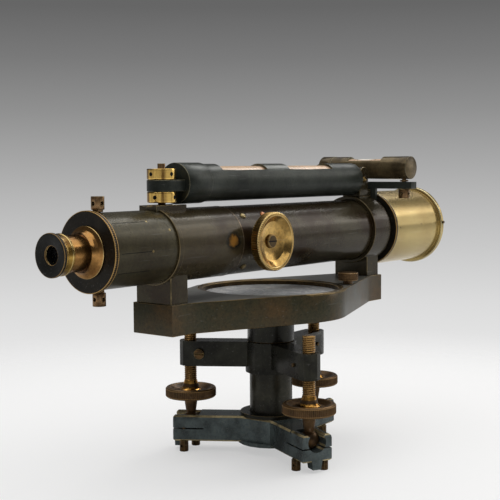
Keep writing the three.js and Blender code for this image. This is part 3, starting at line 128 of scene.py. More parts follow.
def seen_by(tree, *rays):
    """1 for rays of the named kinds and 0 for all others."""
    path = put(tree, "LightPath").outputs
    share = path[f"Is {rays[0]} Ray"]
    for ray in rays[1:]:
        share = maths(tree, "MAXIMUM", share, path[f"Is {ray} Ray"])
    return share


def place_on(tree):
    """The socket that gives the place on the object itself."""
    return put(tree, "TexCoord").outputs["Object"]


def bare_material(name):
    """A new material, its empty node tree, and the place on the object."""
    material = bpy.data.materials.new(name)
    material.use_nodes = True
    tree = material.node_tree
    tree.nodes.clear()
    return material, tree, place_on(tree)


def length_of(tree, vector):
    """The length of a vector socket."""
    return put(tree, "VectorMath", vector, operation="LENGTH").outputs["Value"]


def noise(tree, place, size, detail, **values):
    """The grey of a noise texture."""
    return put(tree, "TexNoise", place, Scale=size, Detail=detail, **values).outputs["Fac"]


world = bpy.data.worlds.new("room")
bpy.context.scene.world = world
world.use_nodes = True
room = world.node_tree
room.nodes.clear()
wall_reach = 0.30
wall_tones = [(-0.30, 236), (-0.22, 240), (-0.168, 230), (-0.122, 219), (-0.078, 202), (-0.032, 184),
              (0.0, 169), (0.05, 144), (0.098, 121), (0.143, 102), (0.30, 84)]
wall_stops = [((z + wall_reach) / (2 * wall_reach), linear(t, t, t)) for z, t in wall_tones]
sky_height = put(room, "SeparateXYZ", put(room, "TexCoord").outputs["Generated"]).outputs["Z"]
wall_height = put(room, "MapRange", sky_height, From_Min=-wall_reach, From_Max=wall_reach).outputs[0]
fill_light = put(room, "Background", Color=(1.0, 0.99, 0.97, 1.0), Strength=0.22).outputs[0]
wall_light = put(room, "Background", ramp(room, wall_height, *wall_stops)).outputs[0]
wall_seen = seen_by(room, "Camera", "Glossy", "Transmission")
put(room, "OutputWorld", blended(room, wall_seen, fill_light, wall_light))


def lamp(name, place, aim, size, power, tone):
    """A soft square lamp at a place, turned to face another point."""
    data = bpy.data.lights.new(name, "AREA")
    data.shape = "SQUARE"
    data.size = size
    data.energy = power
    data.color = tone
    obj = bpy.data.objects.new(name, data)
    obj.location = place
    obj.rotation_euler = (Vector(aim) - Vector(place)).to_track_quat("-Z", "Y").to_euler()
    bpy.context.scene.collection.objects.link(obj)


middle = (0.0, 0.0, 0.12)
lamp("left_softbox", (-1.15, -0.75, 1.15), middle, 1.1, 0.6, (1.0, 0.98, 0.95))
lamp("right_softbox", (1.1, -0.6, 0.85), middle, 0.6, 2.4, (1.0, 0.97, 0.93))
lamp("low_softbox", (0.95, -0.62, 0.42), middle, 0.45, 0.7, (1.0, 0.98, 0.95))
lamp("top_softbox", (0.05, -0.1, 1.5), middle, 2.6, 26.0, (1.0, 1.0, 1.0))
lamp("far_softbox", (1.05, 0.22, 1.05), middle, 0.38, 2.6, (1.0, 0.99, 0.97))


def drawn_mesh(name, points, faces, wear=None):
    """A mesh from points in metres and faces, with the wear of each point where that is given."""
    mesh = bpy.data.meshes.new(name)
    mesh.from_pydata(points, [], faces)
    if wear is not None:
        mesh.attributes.new("wear", "FLOAT", "POINT").data.foreach_set("value", wear)
    return mesh


table_radius, table_top, table_sides = 0.9, 0.0023, 96
fade_start, fade_end = 0.22, 0.62
around = np.linspace(0.0, 2 * math.pi, table_sides, endpoint=False)
table_rim = np.stack([table_radius * np.cos(around), table_radius * np.sin(around),
                      0 * around + table_top], 1)
table_mesh = drawn_mesh("table", table_rim.tolist(), [list(range(table_sides))])
table = bpy.data.objects.new("table", table_mesh)
bpy.context.scene.collection.objects.link(table)
board, paint, board_place = bare_material("white_board")
board_fade = put(paint, "MapRange", length_of(paint, board_place), interpolation_type="SMOOTHSTEP",
                 From_Min=fade_start, From_Max=fade_end).outputs[0]
board_white = put(paint, "BsdfDiffuse", (0.90, 0.90, 0.90, 1.0)).outputs[0]
# Glossy rays see the board nearly black: painted shade in the metal's reflections.
board_dark_in_reflections = mixed(paint, seen_by(paint, "Glossy"), (0.97, 0.97, 0.97, 1.0), (0.04, 0.04, 0.04, 1.0))
board_bright = put(paint, "Emission", board_dark_in_reflections).outputs[0]
board_lift = maths(paint, "MULTIPLY", seen_by(paint, "Camera", "Glossy", "Transmission"), 0.5)
board_top = blended(paint, board_lift, board_white, board_bright)
board_clear = put(paint, "BsdfTransparent").outputs[0]
put(paint, "OutputMaterial", blended(paint, board_fade, board_top, board_clear))
table_mesh.materials.append(board)

# Oxidised bronze and lacquered brass: one recipe for every metal of the level.
# Old bronze is darkened by acid and oil, and its edges rub back to brass in the hand.


def metal(name, body, patch, rough, metallic=1.0, patches=38.0, patch_share=(0.42, 0.66), scratch=0.05,
          swing=0.12, coat=0.0, bump=0.25, worn=None, flecks=0.7, gloss=0.18, patch_stretch=None):
    """A metal with patches of a second tone, flecks, scratches and, by the wear attribute, a rubbed tone.

    The tones are screen levels. About as many patches lie along a metre as patches says, and they are long on
    the axis whose stretch number is small; stretched upright on the round nuts and stems, they serve as
    painted reflection bands.
    """
    material, tree, spot = bare_material(name)
    along = put(tree, "Mapping", spot, Scale=patch_stretch).outputs[0] if patch_stretch else spot
    cloud = noise(tree, along, patches, 6.0, Roughness=0.62)
    mottle = ramp(tree, cloud, (patch_share[0], 0), (patch_share[1], 1))
    grain = noise(tree, spot, 620.0, 3.0, Roughness=0.7)
    fleck = ramp(tree, grain, (0.30, (0.62, 0.60, 0.58, 1)), (0.50, 1), (0.72, (1.35, 1.22, 1.02, 1)))
    colour = mixed(tree, mottle, linear(*body), linear(*patch))
    colour = mixed(tree, flecks, colour, fleck, "MULTIPLY")
    if worn is not None:
        rubbed = put(tree, "Attribute", attribute_name="wear").outputs["Fac"]
        ragged = maths(tree, "MULTIPLY_ADD", rubbed, 1.6, maths(tree, "SUBTRACT", cloud, 0.72))
        colour = mixed(tree, ramp(tree, ragged, (0.35, 0), (0.75, 1)), colour, linear(*worn))
    if scratch:
        stretched = put(tree, "Mapping", spot, Scale=(0.35, 9.0, 9.0), Rotation=(0.3, 0.4, 0.2)).outputs[0]
        streak = noise(tree, stretched, 95.0, 2.0, Roughness=0.5)
        colour = mixed(tree, 1.0, colour, ramp(tree, streak, (0.66, 0), (0.70, scratch)), "ADD")
    smoothest = max(0.05, rough - swing)
    shine = put(tree, "MapRange", cloud, To_Min=smoothest, To_Max=rough + swing).outputs[0]
    dent = put(tree, "Bump", Strength=bump, Distance=0.0001, Height=grain).outputs["Normal"]
    skin = put(tree, "BsdfPrincipled", Base_Color=colour, Metallic=metallic, Roughness=shine, Normal=dent,
               Specular_IOR_Level=gloss, Coat_Weight=coat, Coat_Roughness=0.12)
    put(tree, "OutputMaterial", skin.outputs[0])
    return material


finish_of = {row["node"]: row["material_slot"] for row in frame["record"]["subparts"]}
edge_brass = metal("rubbed_edge", (150, 132, 92), (96, 88, 68), 0.34, patch_share=(0.45, 0.62))

# The trivet: a three-armed plate that screws on the tripod and holds the three foot screws.
# It was cast in gunmetal, filed, and bronzed blue-black; its edges are rubbed bright, and its sloping
# chamfers carry the same bright tone as a painted highlight.
trivet_tone = metal("blue_black_bronze", (98, 109, 110), (58, 64, 64), 0.25, metallic=0.45, patches=60.0,
    gloss=0.35)
# Rubbed brass on the edges, and the same bright tone as a painted highlight on the sloping chamfers.
trivet_edge_and_highlight = metal("trivet_edge_and_highlight", (216, 198, 152), (92, 88, 74), 0.26, metallic=0.3, patches=70.0)


def mended(mesh, near=None, whole=False, sliver=None, loose=False, outward=False):
    """Mends a mesh: joins points nearer than near, makes flat faces whole, drops slivers and loose points,
    and turns all faces outward."""
    work = bmesh.new()
    work.from_mesh(mesh)
    if near:
        bmesh.ops.remove_doubles(work, verts=work.verts, dist=near)
    if whole:
        bmesh.ops.dissolve_limit(work, angle_limit=math.radians(0.5), verts=work.verts, edges=work.edges)
    if sliver:
        bmesh.ops.dissolve_degenerate(work, dist=sliver, edges=work.edges)
    if loose:
        bmesh.ops.delete(work, geom=[v for v in work.verts if not v.link_faces], context="VERTS")
    if outward:
        bmesh.ops.recalc_face_normals(work, faces=work.faces)
    work.to_mesh(mesh)
    work.free()


def shaded(mesh, *skins, worn_faces=()):
    """Gives a mesh its materials, the second one on its worn faces, and one smooth shading."""
    mesh.materials.clear()
    for skin in skins:
        mesh.materials.append(skin)
    if len(worn_faces):
        mesh.polygons.foreach_set("material_index", worn_faces)
    mesh.polygons.foreach_set("use_smooth", [True] * len(mesh.polygons))


def placed(name, mesh, body, node=None, ease=0.0, least=30.0, harden=True):
    """Sets a mesh on a body, with the edges sharper than least eased by a bevel.

    It stands in for the CAD node given, or for the one it is named after, and then its name ends in _skin.
    """
    if name in finish_of:
        node, name = name, name + "_skin"
    mesh.name = name
    obj = bpy.data.objects.new(name, mesh)
    bpy.context.scene.collection.objects.link(obj)
    if ease:
        bevel = obj.modifiers.new("eased", "BEVEL")
        bevel.width = ease
        bevel.segments = 2
        bevel.limit_method = "ANGLE"
        bevel.angle_limit = math.radians(least)
        bevel.material = 1
        bevel.harden_normals = harden
    if node:
        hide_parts(node)
    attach(obj, body)
    return obj


def softened(node, body, skin, rub=edge_brass, width=0.0004, least=30.0, crease=None, slant_highlight=False):
    """A CAD piece with its flat faces whole again and its sharp edges eased by a narrow bevel.

    The faces that lie between level and upright can take the rubbed material too, as a painted highlight on
    chamfers.
    """
    mesh = frame["nodes"][node].data.copy()
    mended(mesh, near=1e-6, whole=True, outward=True)
    # Sloping faces take the bright second material: a painted highlight.
    highlit_slopes = [int(slant_highlight and 0.45 < abs(face.normal.z) < 0.85) for face in mesh.polygons]
    shaded(mesh, skin, rub, worn_faces=highlit_slopes)
    if crease is not None:
        mesh.set_sharp_from_angle(angle=math.radians(crease))
    placed(node, mesh, body, ease=width, least=least)


def eased_line(profile, width):
    """A (radius, height) line with each sharp corner swapped for a short curve; also the wear at each point.

    A corner is cut back along both of its sides by the width, or less on a short side, and bridged by
    four points of a parabola, with one more point on each flat side. On an outward corner the wear is
    1 at the curve's two middle points and 0.45 at its ends. Everywhere else it is 0.
    """
    least_bend, longest_cut, flat_reach, longest_reach = math.radians(14), 0.42, 1.8, 0.47
    points = [np.array(p, float) for p in profile]
    count = len(points)
    shut = points[0][0] > 0 and points[-1][0] > 0
    loop = points if shut else points + [np.array([0.0, points[0][1]])]
    turned_way = np.sign(sum(a[0] * b[1] - b[0] * a[1] for a, b in zip(loop, loop[1:] + loop[:1])))
    line, wear = [], []
    for i, here in enumerate(points):
        back, ahead = points[i - 1] - here, points[(i + 1) % count] - here
        back_length, ahead_length = np.hypot(*back), np.hypot(*ahead)
        back, ahead = back / back_length, ahead / ahead_length
        bend = math.acos(np.clip(np.dot(-back, ahead), -1.0, 1.0))
        on_axis = not shut and i in (0, count - 1)
        if on_axis or bend < least_bend:
            line.append(here)
            wear.append(0.0)
            continue
        cut = min(width, longest_cut * back_length, longest_cut * ahead_length)
        outward = turned_way * (-back[0] * ahead[1] + back[1] * ahead[0]) > 0
        line.append(here + back * min(flat_reach * cut, longest_reach * back_length))
        line += [here + back * cut * (1 - t) ** 2 + ahead * cut * t ** 2 for t in (0.0, 0.33, 0.67, 1.0)]
        line.append(here + ahead * min(flat_reach * cut, longest_reach * ahead_length))
        wear += [0.0, 0.45, 1.0, 1.0, 0.45, 0.0] if outward else [0.0] * 6
    return np.array(line), np.array(wear), shut, turned_way


def band(low, high, sides):
    """The quads between two closed rings of points, which start at the points numbered low and high."""
    here, beside = np.arange(sides), (np.arange(sides) + 1) % sides
    return np.stack([low + here, low + beside, high + beside, high + here], 1).tolist()


def turned(name, body, skin, profile, sides=96, lay="Z", place=(0.0, 0.0, 0.0), width=0.35, knurls=(),
           node=None):
    """A lathe-turned piece: a (radius, height) line in millimetres swept round an axis through a place.

    Each point of the line makes one ring. In a knurl (low, high, teeth, depth, inner radius), the radius dips
    as often round the ring as there are teeth. A line that starts on the axis closes there.
    """
    line, wear, shut, way = eased_line(profile, width)
    ring_gap = 0.9
    if knurls:
        rows, row_wear = [line[0]], [wear[0]]
        for a, b, wa, wb in zip(line[:-1], line[1:], wear[:-1], wear[1:]):
            knurled = any(low <= (a[1] + b[1]) / 2 <= high for low, high, *_ in knurls)
            steps = max(1, int(abs(b[1] - a[1]) / ring_gap)) if knurled else 1
            for s in range(1, steps + 1):
                rows.append(a + (b - a) * s / steps)
                row_wear.append(wa + (wb - wa) * s / steps)
        line, wear = np.array(rows), np.array(row_wear)
    angle = np.linspace(0.0, 2 * math.pi, sides, endpoint=False)
    top_wear, hollow_wear = 0.45, -0.1
    radius = np.repeat(line[:, :1], sides, 1)
    rub = np.repeat(wear[:, None], sides, 1)
    for low, high, teeth, depth, inner in knurls:
        level = (line[:, 1] >= low) & (line[:, 1] <= high) & (line[:, 0] >= inner)
        dip = 0.5 - 0.5 * np.cos(angle * teeth)
        radius[level] -= depth * dip
        rub[level] += (top_wear - hollow_wear) * (1 - dip) + hollow_wear
    height = np.repeat(line[:, 1:], sides, 1)
    across, along = radius * np.cos(angle), radius * np.sin(angle)
    lays = {"Z": (across, along, height), "X": (height, across, along), "Y": (along, height, across),
            "-Y": (across, -height, along)}
    spots = np.stack(lays[lay], 2).reshape(-1, 3) * 0.001 + np.array(place) * 0.001
    rows = len(line)
    faces = []
    for r in range(rows if shut else rows - 1):
        low, high = r * sides, ((r + 1) % rows) * sides
        quads = band(low, high, sides)
        start, end = line[r][0] == 0, line[(r + 1) % rows][0] == 0
        if start and end:
            continue
        if start:
            quads = [[low, beyond, above] for _, _, beyond, above in quads]
        elif end:
            quads = [[here, beside, high] for here, beside, _, _ in quads]
        faces += [quad[::-1] for quad in quads] if way < 0 else quads
    mesh = drawn_mesh(name, spots.tolist(), faces, np.clip(rub, 0.0, 1.5).ravel())
    mended(mesh, loose=True)
    shaded(mesh, skin)
    return placed(name, mesh, body, node)


softened("trivet_plate", "trivet", trivet_tone, trivet_edge_and_highlight, width=0.0006, crease=16.0, slant_highlight=True)
clamp_tone = metal("clamp_screw_bronze", (112, 86, 56), (58, 46, 34), 0.38, metallic=0.7, patches=180.0)
for i in range(6):
    softened(f"socket_clamp_screw_{i + 1}", "trivet", clamp_tone, width=0.0002)

# The centre column and the tribrach: a ring and a plain column rise from the trivet's middle,
# and the three-armed tribrach on top takes the foot screws in split, clamped arm ends.
# Gunmetal castings, turned and filed, bronzed nearly black.
dark_tone = metal("black_bronze_skin", (46, 46, 38), (24, 23, 19), 0.26, gloss=0.28, metallic=0.4,
    patches=55.0, worn=(150, 126, 84))
dark_edge = metal("black_bronze_edge", (120, 106, 80), (60, 56, 46), 0.34, metallic=0.7, patches=80.0)
turned("centre_ring", "trivet", dark_tone, [(15.5, 28.5), (22.0, 28.5), (22.0, 31.0), (15.5, 31.0)],
    width=0.12)
# The column has a lighter copy of the black bronze: painted light, where the tribrach below the stage is in
# shade.
column_lit_tone = metal("column_bronze_painted_light", (66, 65, 56), (40, 39, 34), 0.26, gloss=0.28, metallic=0.4,
    patches=55.0)
turned("centre_column", "tribrach_body", column_lit_tone,
    [(11.8, 19.8), (15.2, 19.8), (15.2, 59.5), (12.6, 59.5), (12.6, 67.5), (9.1, 67.5), (9.1, 32.2),
     (11.8, 32.2)], width=0.3)
softened("tribrach", "tribrach_body", dark_tone, dark_edge, width=0.00045, crease=16.0)
for i in range(3):
    softened(f"arm_clamp_screw_{i + 1}", "tribrach_body", clamp_tone, width=0.00025)

# The three foot screws: ball, knurled disc with a dished top, flare and threaded stem in one piece.
# Turned from hard brass; the discs are brown from handling and bright on the tops of the knurls.
foot_tone = metal("handled_brass", (104, 80, 54), (60, 48, 36), 0.36, metallic=0.65, patches=90.0, bump=0.3,
    worn=(152, 120, 78))
# The stems' patches are stretched upright into golden and dark bands: painted reflections along the round
# stems; the thread crests are rubbed.
streaked_stem_tone = metal("stem_brass_painted_streaks", (150, 112, 64), (52, 40, 27), 0.28, metallic=0.8, patches=300.0,
    patch_share=(0.40, 0.60), patch_stretch=(1.0, 1.0, 0.05), worn=(176, 138, 84))


def thread(name, body, skin, radius, low, high, place, node):
    """A right-hand thread: a sleeve whose radius swings with height less one pitch for each turn round."""
    pitch, depth, sides, rings_a_turn = 1.5, 0.38, 48, 8
    rings = int((high - low) / pitch * rings_a_turn) + 1
    height = np.linspace(low, high, rings)
    angle = np.linspace(0.0, 2 * math.pi, sides, endpoint=False)
    turn_share = (height[:, None] / pitch - angle[None, :] / (2 * math.pi)) % 1.0
    fade = np.clip(np.minimum(height - low, high - height) / pitch, 0.0, 1.0)[:, None]
    groove = depth * (0.5 - 0.5 * np.cos(2 * math.pi * turn_share)) * fade
    swept = radius - groove
    spots = np.stack([swept * np.cos(angle), swept * np.sin(angle), np.repeat(height[:, None], sides, 1)], 2)
    spots = spots.reshape(-1, 3) * 0.001 + np.array(place) * 0.001
    faces = [quad for r in range(rings - 1) for quad in band(r * sides, (r + 1) * sides, sides)]
    faces.append(list(range(sides))[::-1])
    faces.append(list(range((rings - 1) * sides, rings * sides)))
    mesh = drawn_mesh(name, spots.tolist(), faces, (0.9 * (1 - groove / depth)).ravel())
    shaded(mesh, skin)
    placed(name, mesh, body, node)


ball_radius, ball_height, screw_circle = 6.45, 22.9, 58
ball_turns = np.linspace(-math.pi / 2, 1.03, 14)
ball = [(ball_radius * math.cos(a), ball_height + ball_radius * math.sin(a)) for a in ball_turns]
ball[0] = (0.0, ball_height - ball_radius)
foot_line = ball + [(4.5, 36.0), (4.5, 40.3), (17.2, 40.3), (18.2, 41.3), (18.2, 46.5), (17.2, 47.5),
                    (15.0, 47.5), (11.0, 44.9), (6.7, 46.5), (4.75, 51.2), (4.3, 52.4), (0.0, 52.4)]
# Over each disc's hub lies a thin shell of bright gold: a painted glint on the polished flare.
hub_line = [(0.0, 45.4), (8.2, 45.95), (6.8, 46.6), (5.5, 49.0), (4.9, 51.25), (4.5, 52.6), (0.0, 52.6)]
hub_glint_tone = metal("hub_painted_glint", (232, 176, 88), (126, 82, 42), 0.20, patches=150.0,
    patch_share=(0.45, 0.62), bump=0.1)
for i, degrees in enumerate((4.0, 124.0, 244.0)):
    lean = math.radians(degrees)
    spot = (screw_circle * math.cos(lean), screw_circle * math.sin(lean), 0.0)
    node = f"foot_screw_{i + 1}"
    rider = f"levelling_screw_{i + 1}"
    turned(node + "_disc", rider, foot_tone, foot_line, sides=336, place=spot, width=0.3,
        knurls=[(41.4, 46.4, 84, 0.55, 18.0)], node=node)
    turned(node + "_hub", rider, hub_glint_tone, hub_line, place=spot, width=0.2)
    thread(node + "_thread", rider, streaked_stem_tone, 4.45, 52.0, 92.8, spot, node)

# The spindle: a tapered bronze shaft with a broad neck that turns in the tribrach.
# A hexagonal nut keeps it down inside the column, where neither is seen.
turned("spindle", "limb", dark_tone,
    [(0.0, 24.9), (4.6, 24.9), (4.6, 33.2), (7.4, 33.2), (8.8, 59.5), (8.8, 81.8), (16.7, 81.8),
     (16.7, 100.3), (0.0, 100.3)], width=0.3)
plain_steel = metal("nut_steel", (150, 150, 148), (90, 90, 88), 0.35, patches=100.0)
softened("spindle_nut", "limb", plain_steel, plain_steel, width=0.0002)

# The stage: a flat bronze bar that widens by straight tapers into a disc with a sunk compass well.
# One casting, turned and filed flat, with a bevel round the disc that has rubbed to brass.
stage_tone = metal("brown_bronze_and_top_sheen", (60, 58, 41), (82, 65, 40), 0.33, metallic=0.3, patches=34.0,
    patch_share=(0.40, 0.64), scratch=0.03, flecks=1.0, gloss=0.34)


def opened(material):
    """A finished metal's tree, the input for its base colour, and what feeds that now."""
    tree = material.node_tree
    tone = next(n for n in tree.nodes if n.type == "BSDF_PRINCIPLED").inputs["Base Color"]
    return tree, tone, tone.links[0].from_socket


def painted_top_sheen(material, dust_and_sheen, most):
    """Lays a thin grey over the faces of a material that look straight up: a painted sheen of the light
    above.
    """
    tree, tone, under = opened(material)
    upward = put(tree, "SeparateXYZ", put(tree, "NewGeometry").outputs["Normal"]).outputs["Z"]
    share = ramp(tree, upward, (0.90, 0), (0.97, most))
    tree.links.new(mixed(tree, share, under, linear(*dust_and_sheen)), tone)


# The stage's flat top gets a grey painted sheen, the overhead light mirrored in it.
painted_top_sheen(stage_tone, (136, 136, 132), 0.5)
stage_edge = metal("stage_edge", (140, 120, 82), (66, 58, 42), 0.34, metallic=0.7, patches=90.0)
stage_half, bar_half, disc_radius, well_radius = 0.120, 0.0168, 0.0545, 0.0516
stage_low, stage_high, well_floor, shoulder = 0.1003, 0.120, 0.106, 0.103
edge_ease, disc_bevel = 0.0004, 0.0011
taper_turn = math.atan2(bar_half, shoulder) + math.acos(disc_radius / math.hypot(shoulder, bar_half))
touch = (disc_radius * math.cos(taper_turn), disc_radius * math.sin(taper_turn))
corner_turns = [math.atan2(bar_half, stage_half), math.atan2(bar_half, shoulder), taper_turn]
quarter_turns = sorted(corner_turns + list(np.linspace(0, corner_turns[0], 8)[:-1])
                       + list(np.linspace(corner_turns[1], taper_turn, 16)[1:-1])
                       + list(np.linspace(taper_turn, math.pi / 2, 20)[1:]))
half_turns = quarter_turns + [math.pi - t for t in quarter_turns[-2::-1]]
ring_turns = np.array(half_turns + [t + math.pi for t in half_turns[1:-1]])


def stage_rim(turn):
    """Distance from the axis to the stage's rim: the farthest of bar, taper and disc on that ray."""
    c, s = abs(math.cos(turn)), abs(math.sin(turn))
    never = 9.0
    bar = min(stage_half / c if c > 1e-9 else never, bar_half / s if s > 1e-9 else never)
    if math.atan2(s, c) < corner_turns[1]:
        return bar
    if math.atan2(s, c) > taper_turn:
        return disc_radius
    dx, dy = touch[0] - shoulder, touch[1] - bar_half
    return (shoulder * dy - bar_half * dx) / (c * dy - s * dx)


rim = np.array([stage_rim(t) for t in ring_turns])
acute = np.arctan2(np.abs(np.sin(ring_turns)), np.abs(np.cos(ring_turns)))
bevel_start = taper_turn - 0.06
bevel_width = edge_ease + disc_bevel * np.clip((acute - bevel_start) / 0.06, 0.0, 1.0)
spokes = np.stack([np.cos(ring_turns), np.sin(ring_turns)], 1)
well = well_radius + 0 * rim
stage_rows = [(0 * rim, stage_low), (rim - edge_ease, stage_low), (rim, stage_low + edge_ease),
              (rim, stage_high - bevel_width), (rim - 0.3 * bevel_width, stage_high - 0.3 * bevel_width),
              (rim - bevel_width, stage_high), (well + edge_ease, stage_high), (well, stage_high - edge_ease),
              (well, well_floor), (0 * rim, well_floor)]
edge_rows = (1, 3, 4, 6)
stage_points, stage_faces, stage_rubbed, side_count = [], [], [], len(ring_turns)
for radius_row, height_row in stage_rows:
    height_row = np.broadcast_to(height_row, rim.shape)
    stage_points += np.column_stack([spokes * radius_row[:, None], height_row]).tolist()
for row in range(len(stage_rows) - 1):
    stage_faces += band(row * side_count, (row + 1) * side_count, side_count)
    stage_rubbed += [int(row in edge_rows)] * side_count
stage_mesh = drawn_mesh("stage_skin", stage_points, stage_faces)
shaded(stage_mesh, stage_tone, stage_edge, worn_faces=stage_rubbed)
mended(stage_mesh, near=1e-7, sliver=1e-8)
stage_mesh.set_sharp_from_angle(angle=math.radians(28))
placed("stage_skin", stage_mesh, "limb", "stage_plate")

# The compass: a brass bezel, a silvered degree ring on a plain dial, a needle and a flat glass.
# The dial is divided by hand in degrees; the needle is blued steel on a hardened point.
gold_brass = metal("golden_brass", (206, 168, 98), (140, 104, 52), 0.27, patches=70.0, worn=(236, 206, 142))
bezel_tone = metal("bezel_brass", (88, 72, 48), (54, 45, 32), 0.34, metallic=0.6, patches=70.0,
    worn=(164, 136, 88))
turned("compass_bezel", "limb", bezel_tone,
    [(48.0, 106.0), (51.3, 106.0), (51.3, 119.5), (48.0, 119.5), (48.0, 115.0), (45.5, 115.0), (45.5, 113.4),
     (48.0, 113.4)], sides=192)


def dial_skin():
    """Silver with a black line at each degree of its raised ring, longer at each fifth and tenth."""
    material = metal("silvered_dial", (218, 219, 218), (176, 179, 182), 0.40, metallic=0.1, patches=260.0,
                     scratch=0.0)
    tree, tone, under = opened(material)
    split = put(tree, "SeparateXYZ", place_on(tree)).outputs
    turn = maths(tree, "ARCTAN2", split["Y"], split["X"])
    reach = length_of(tree, put(tree, "CombineXYZ", split["X"], split["Y"]).outputs[0])
    inked = 0.0
    for count, share, inner in ((360, 0.16, 0.0428), (72, 0.045, 0.0415), (36, 0.03, 0.0398)):
        wave = maths(tree, "MULTIPLY_ADD", turn, count / (2 * math.pi), 0.5 * share + count)
        thin = maths(tree, "LESS_THAN", maths(tree, "FRACT", wave), share)
        far = maths(tree, "GREATER_THAN", reach, inner)
        inked = maths(tree, "MAXIMUM", inked, maths(tree, "MULTIPLY", thin, far))
    tree.links.new(mixed(tree, inked, under, (0.01, 0.01, 0.01, 1.0)), tone)
    return material


turned("compass_dial", "limb", dial_skin(),
    [(0.0, 106.0), (47.7, 106.0), (47.7, 107.2), (45.2, 107.2), (45.2, 110.8), (39.0, 110.8), (39.0, 107.2),
     (0.0, 107.2)], sides=180, width=0.2)
turned("compass_pivot", "limb", gold_brass,
    [(0.0, 107.2), (3.6, 107.2), (3.6, 108.8), (0.25, 112.0), (0.0, 112.0)], sides=40, width=0.1)
blued = metal("blued_steel", (52, 62, 92), (30, 34, 48), 0.25, patches=90.0, scratch=0.0)
softened("compass_needle", "needle", blued, blued, width=0.0001)


def glass_skin(name, tint, rough, dust_and_sheen):
    """Old glass: a clear body, dulled on its outer side by a pale film in patches, part dust and part painted
    sheen, that lets the light through.
    """
    material, tree, spot = bare_material(name)
    share = ramp(tree, noise(tree, spot, 45.0, 5.0, Roughness=0.6), (0.35, dust_and_sheen[0]), (0.68, dust_and_sheen[1]))
    refracting = put(tree, "BsdfPrincipled", Base_Color=tint, Roughness=rough, IOR=1.5,
                     Transmission_Weight=1.0).outputs[0]
    light_ray = seen_by(tree, "Shadow", "Diffuse")
    clear = blended(tree, light_ray, refracting, put(tree, "BsdfTransparent").outputs[0])
    specks = ramp(tree, noise(tree, spot, 330.0, 4.0, Roughness=0.7), (0.38, linear(176, 180, 188)),
                  (0.64, linear(252, 251, 246)))
    film = put(tree, "BsdfPrincipled", Base_Color=specks, Roughness=0.45).outputs[0]
    inner_side = put(tree, "NewGeometry").outputs["Backfacing"]
    outer_side = maths(tree, "SUBTRACT", 1.0, maths(tree, "MAXIMUM", inner_side, light_ray))
    film_share = maths(tree, "MULTIPLY", share, outer_side)
    put(tree, "OutputMaterial", blended(tree, film_share, clear, film))
    return material


# The compass glass's pale film covers much of it: dust, and a painted sheen of the glass seen edgewise.
compass_pane = glass_skin("compass_pane", (0.96, 0.98, 0.97, 1.0), 0.06, (0.30, 0.66))
turned("compass_glass", "limb", compass_pane, [(0.0, 115.0), (47.7, 115.0), (47.7, 116.5), (0.0, 116.5)],
    sides=160, width=0.15)

# The needle lifter: a small knurled knob on the stage that raises the needle off its point.
# Turned from brass on a short stem, brown from handling.
lifter_middle = 500.0 * (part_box("needle_lifter")[0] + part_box("needle_lifter")[1])
turned("needle_lifter", "lifter", foot_tone,
    [(0.0, -11.0), (2.0, -11.0), (2.0, 0.3), (3.6, 0.3), (3.6, 2.9), (7.3, 2.9), (7.3, 8.3), (0.0, 8.3)],
    sides=160, place=(lifter_middle.x, lifter_middle.y, 120.0), knurls=[(3.4, 7.8, 40, 0.35, 7.2)])

# The telescope's standards: a square pillar at each end of the stage, each with a round hoop for the tube.
# The eye hoop is a long sleeve with a raised band; the object hoop is a short collar with a bead.
# Bronze castings bored in line, dark olive, with the pillars filed flat.
olive_tone = metal("olive_bronze_skin", (63, 57, 41), (46, 33, 20), 0.26, metallic=0.35, patches=34.0,
    scratch=0.03, worn=(112, 98, 70), gloss=0.20, coat=0.1)
sleeve_tone = metal("sleeve_bronze_and_knob_reflection", (70, 62, 44), (50, 38, 24), 0.28, metallic=0.35, patches=30.0,
    scratch=0.03, worn=(124, 108, 76), gloss=0.20, coat=0.1)


def painted_knob_reflection(material, middle, half, bright, dark):
    """Paints a ragged oval on the near side: a bright heart in a dark halo, a painted reflection within a
    painted shadow.
    """
    tree, tone, under = opened(material)
    spot = place_on(tree)
    centred = put(tree, "Mapping", spot, Location=(-middle[0] / half[0], 0.0, -middle[1] / half[1]),
                  Scale=(1.0 / half[0], 0.0, 1.0 / half[1])).outputs[0]
    away = length_of(tree, centred)
    ragged = maths(tree, "MULTIPLY_ADD", noise(tree, spot, 300.0, 3.0), 0.5, away)
    reflection_and_shadow_tones = ramp(tree, ragged, (0.45, linear(*bright)), (0.68, linear(*dark)))
    share = ramp(tree, ragged, (0.0, 1), (0.75, 0.9), (1.0, 0))
    near = maths(tree, "LESS_THAN", put(tree, "SeparateXYZ", spot).outputs["Y"], 0.0)
    tree.links.new(mixed(tree, maths(tree, "MULTIPLY", near, share), under, reflection_and_shadow_tones), tone)


# Beside the focusing knob: the knob's brass mirrored in the eye sleeve, inside the knob's shadow, both
# painted.
painted_knob_reflection(sleeve_tone, (-0.0680, 0.1575), (0.0115, 0.0100), (158, 112, 50), (34, 34, 28))
olive_edge = metal("olive_edge", (130, 116, 84), (62, 58, 44), 0.34, metallic=0.7, patches=90.0)
tube_height = 155.8
tube_axis = (0.0, 0.0, tube_height)
tube_skin = functools.partial(turned, sides=160, lay="X", place=tube_axis, width=0.3)


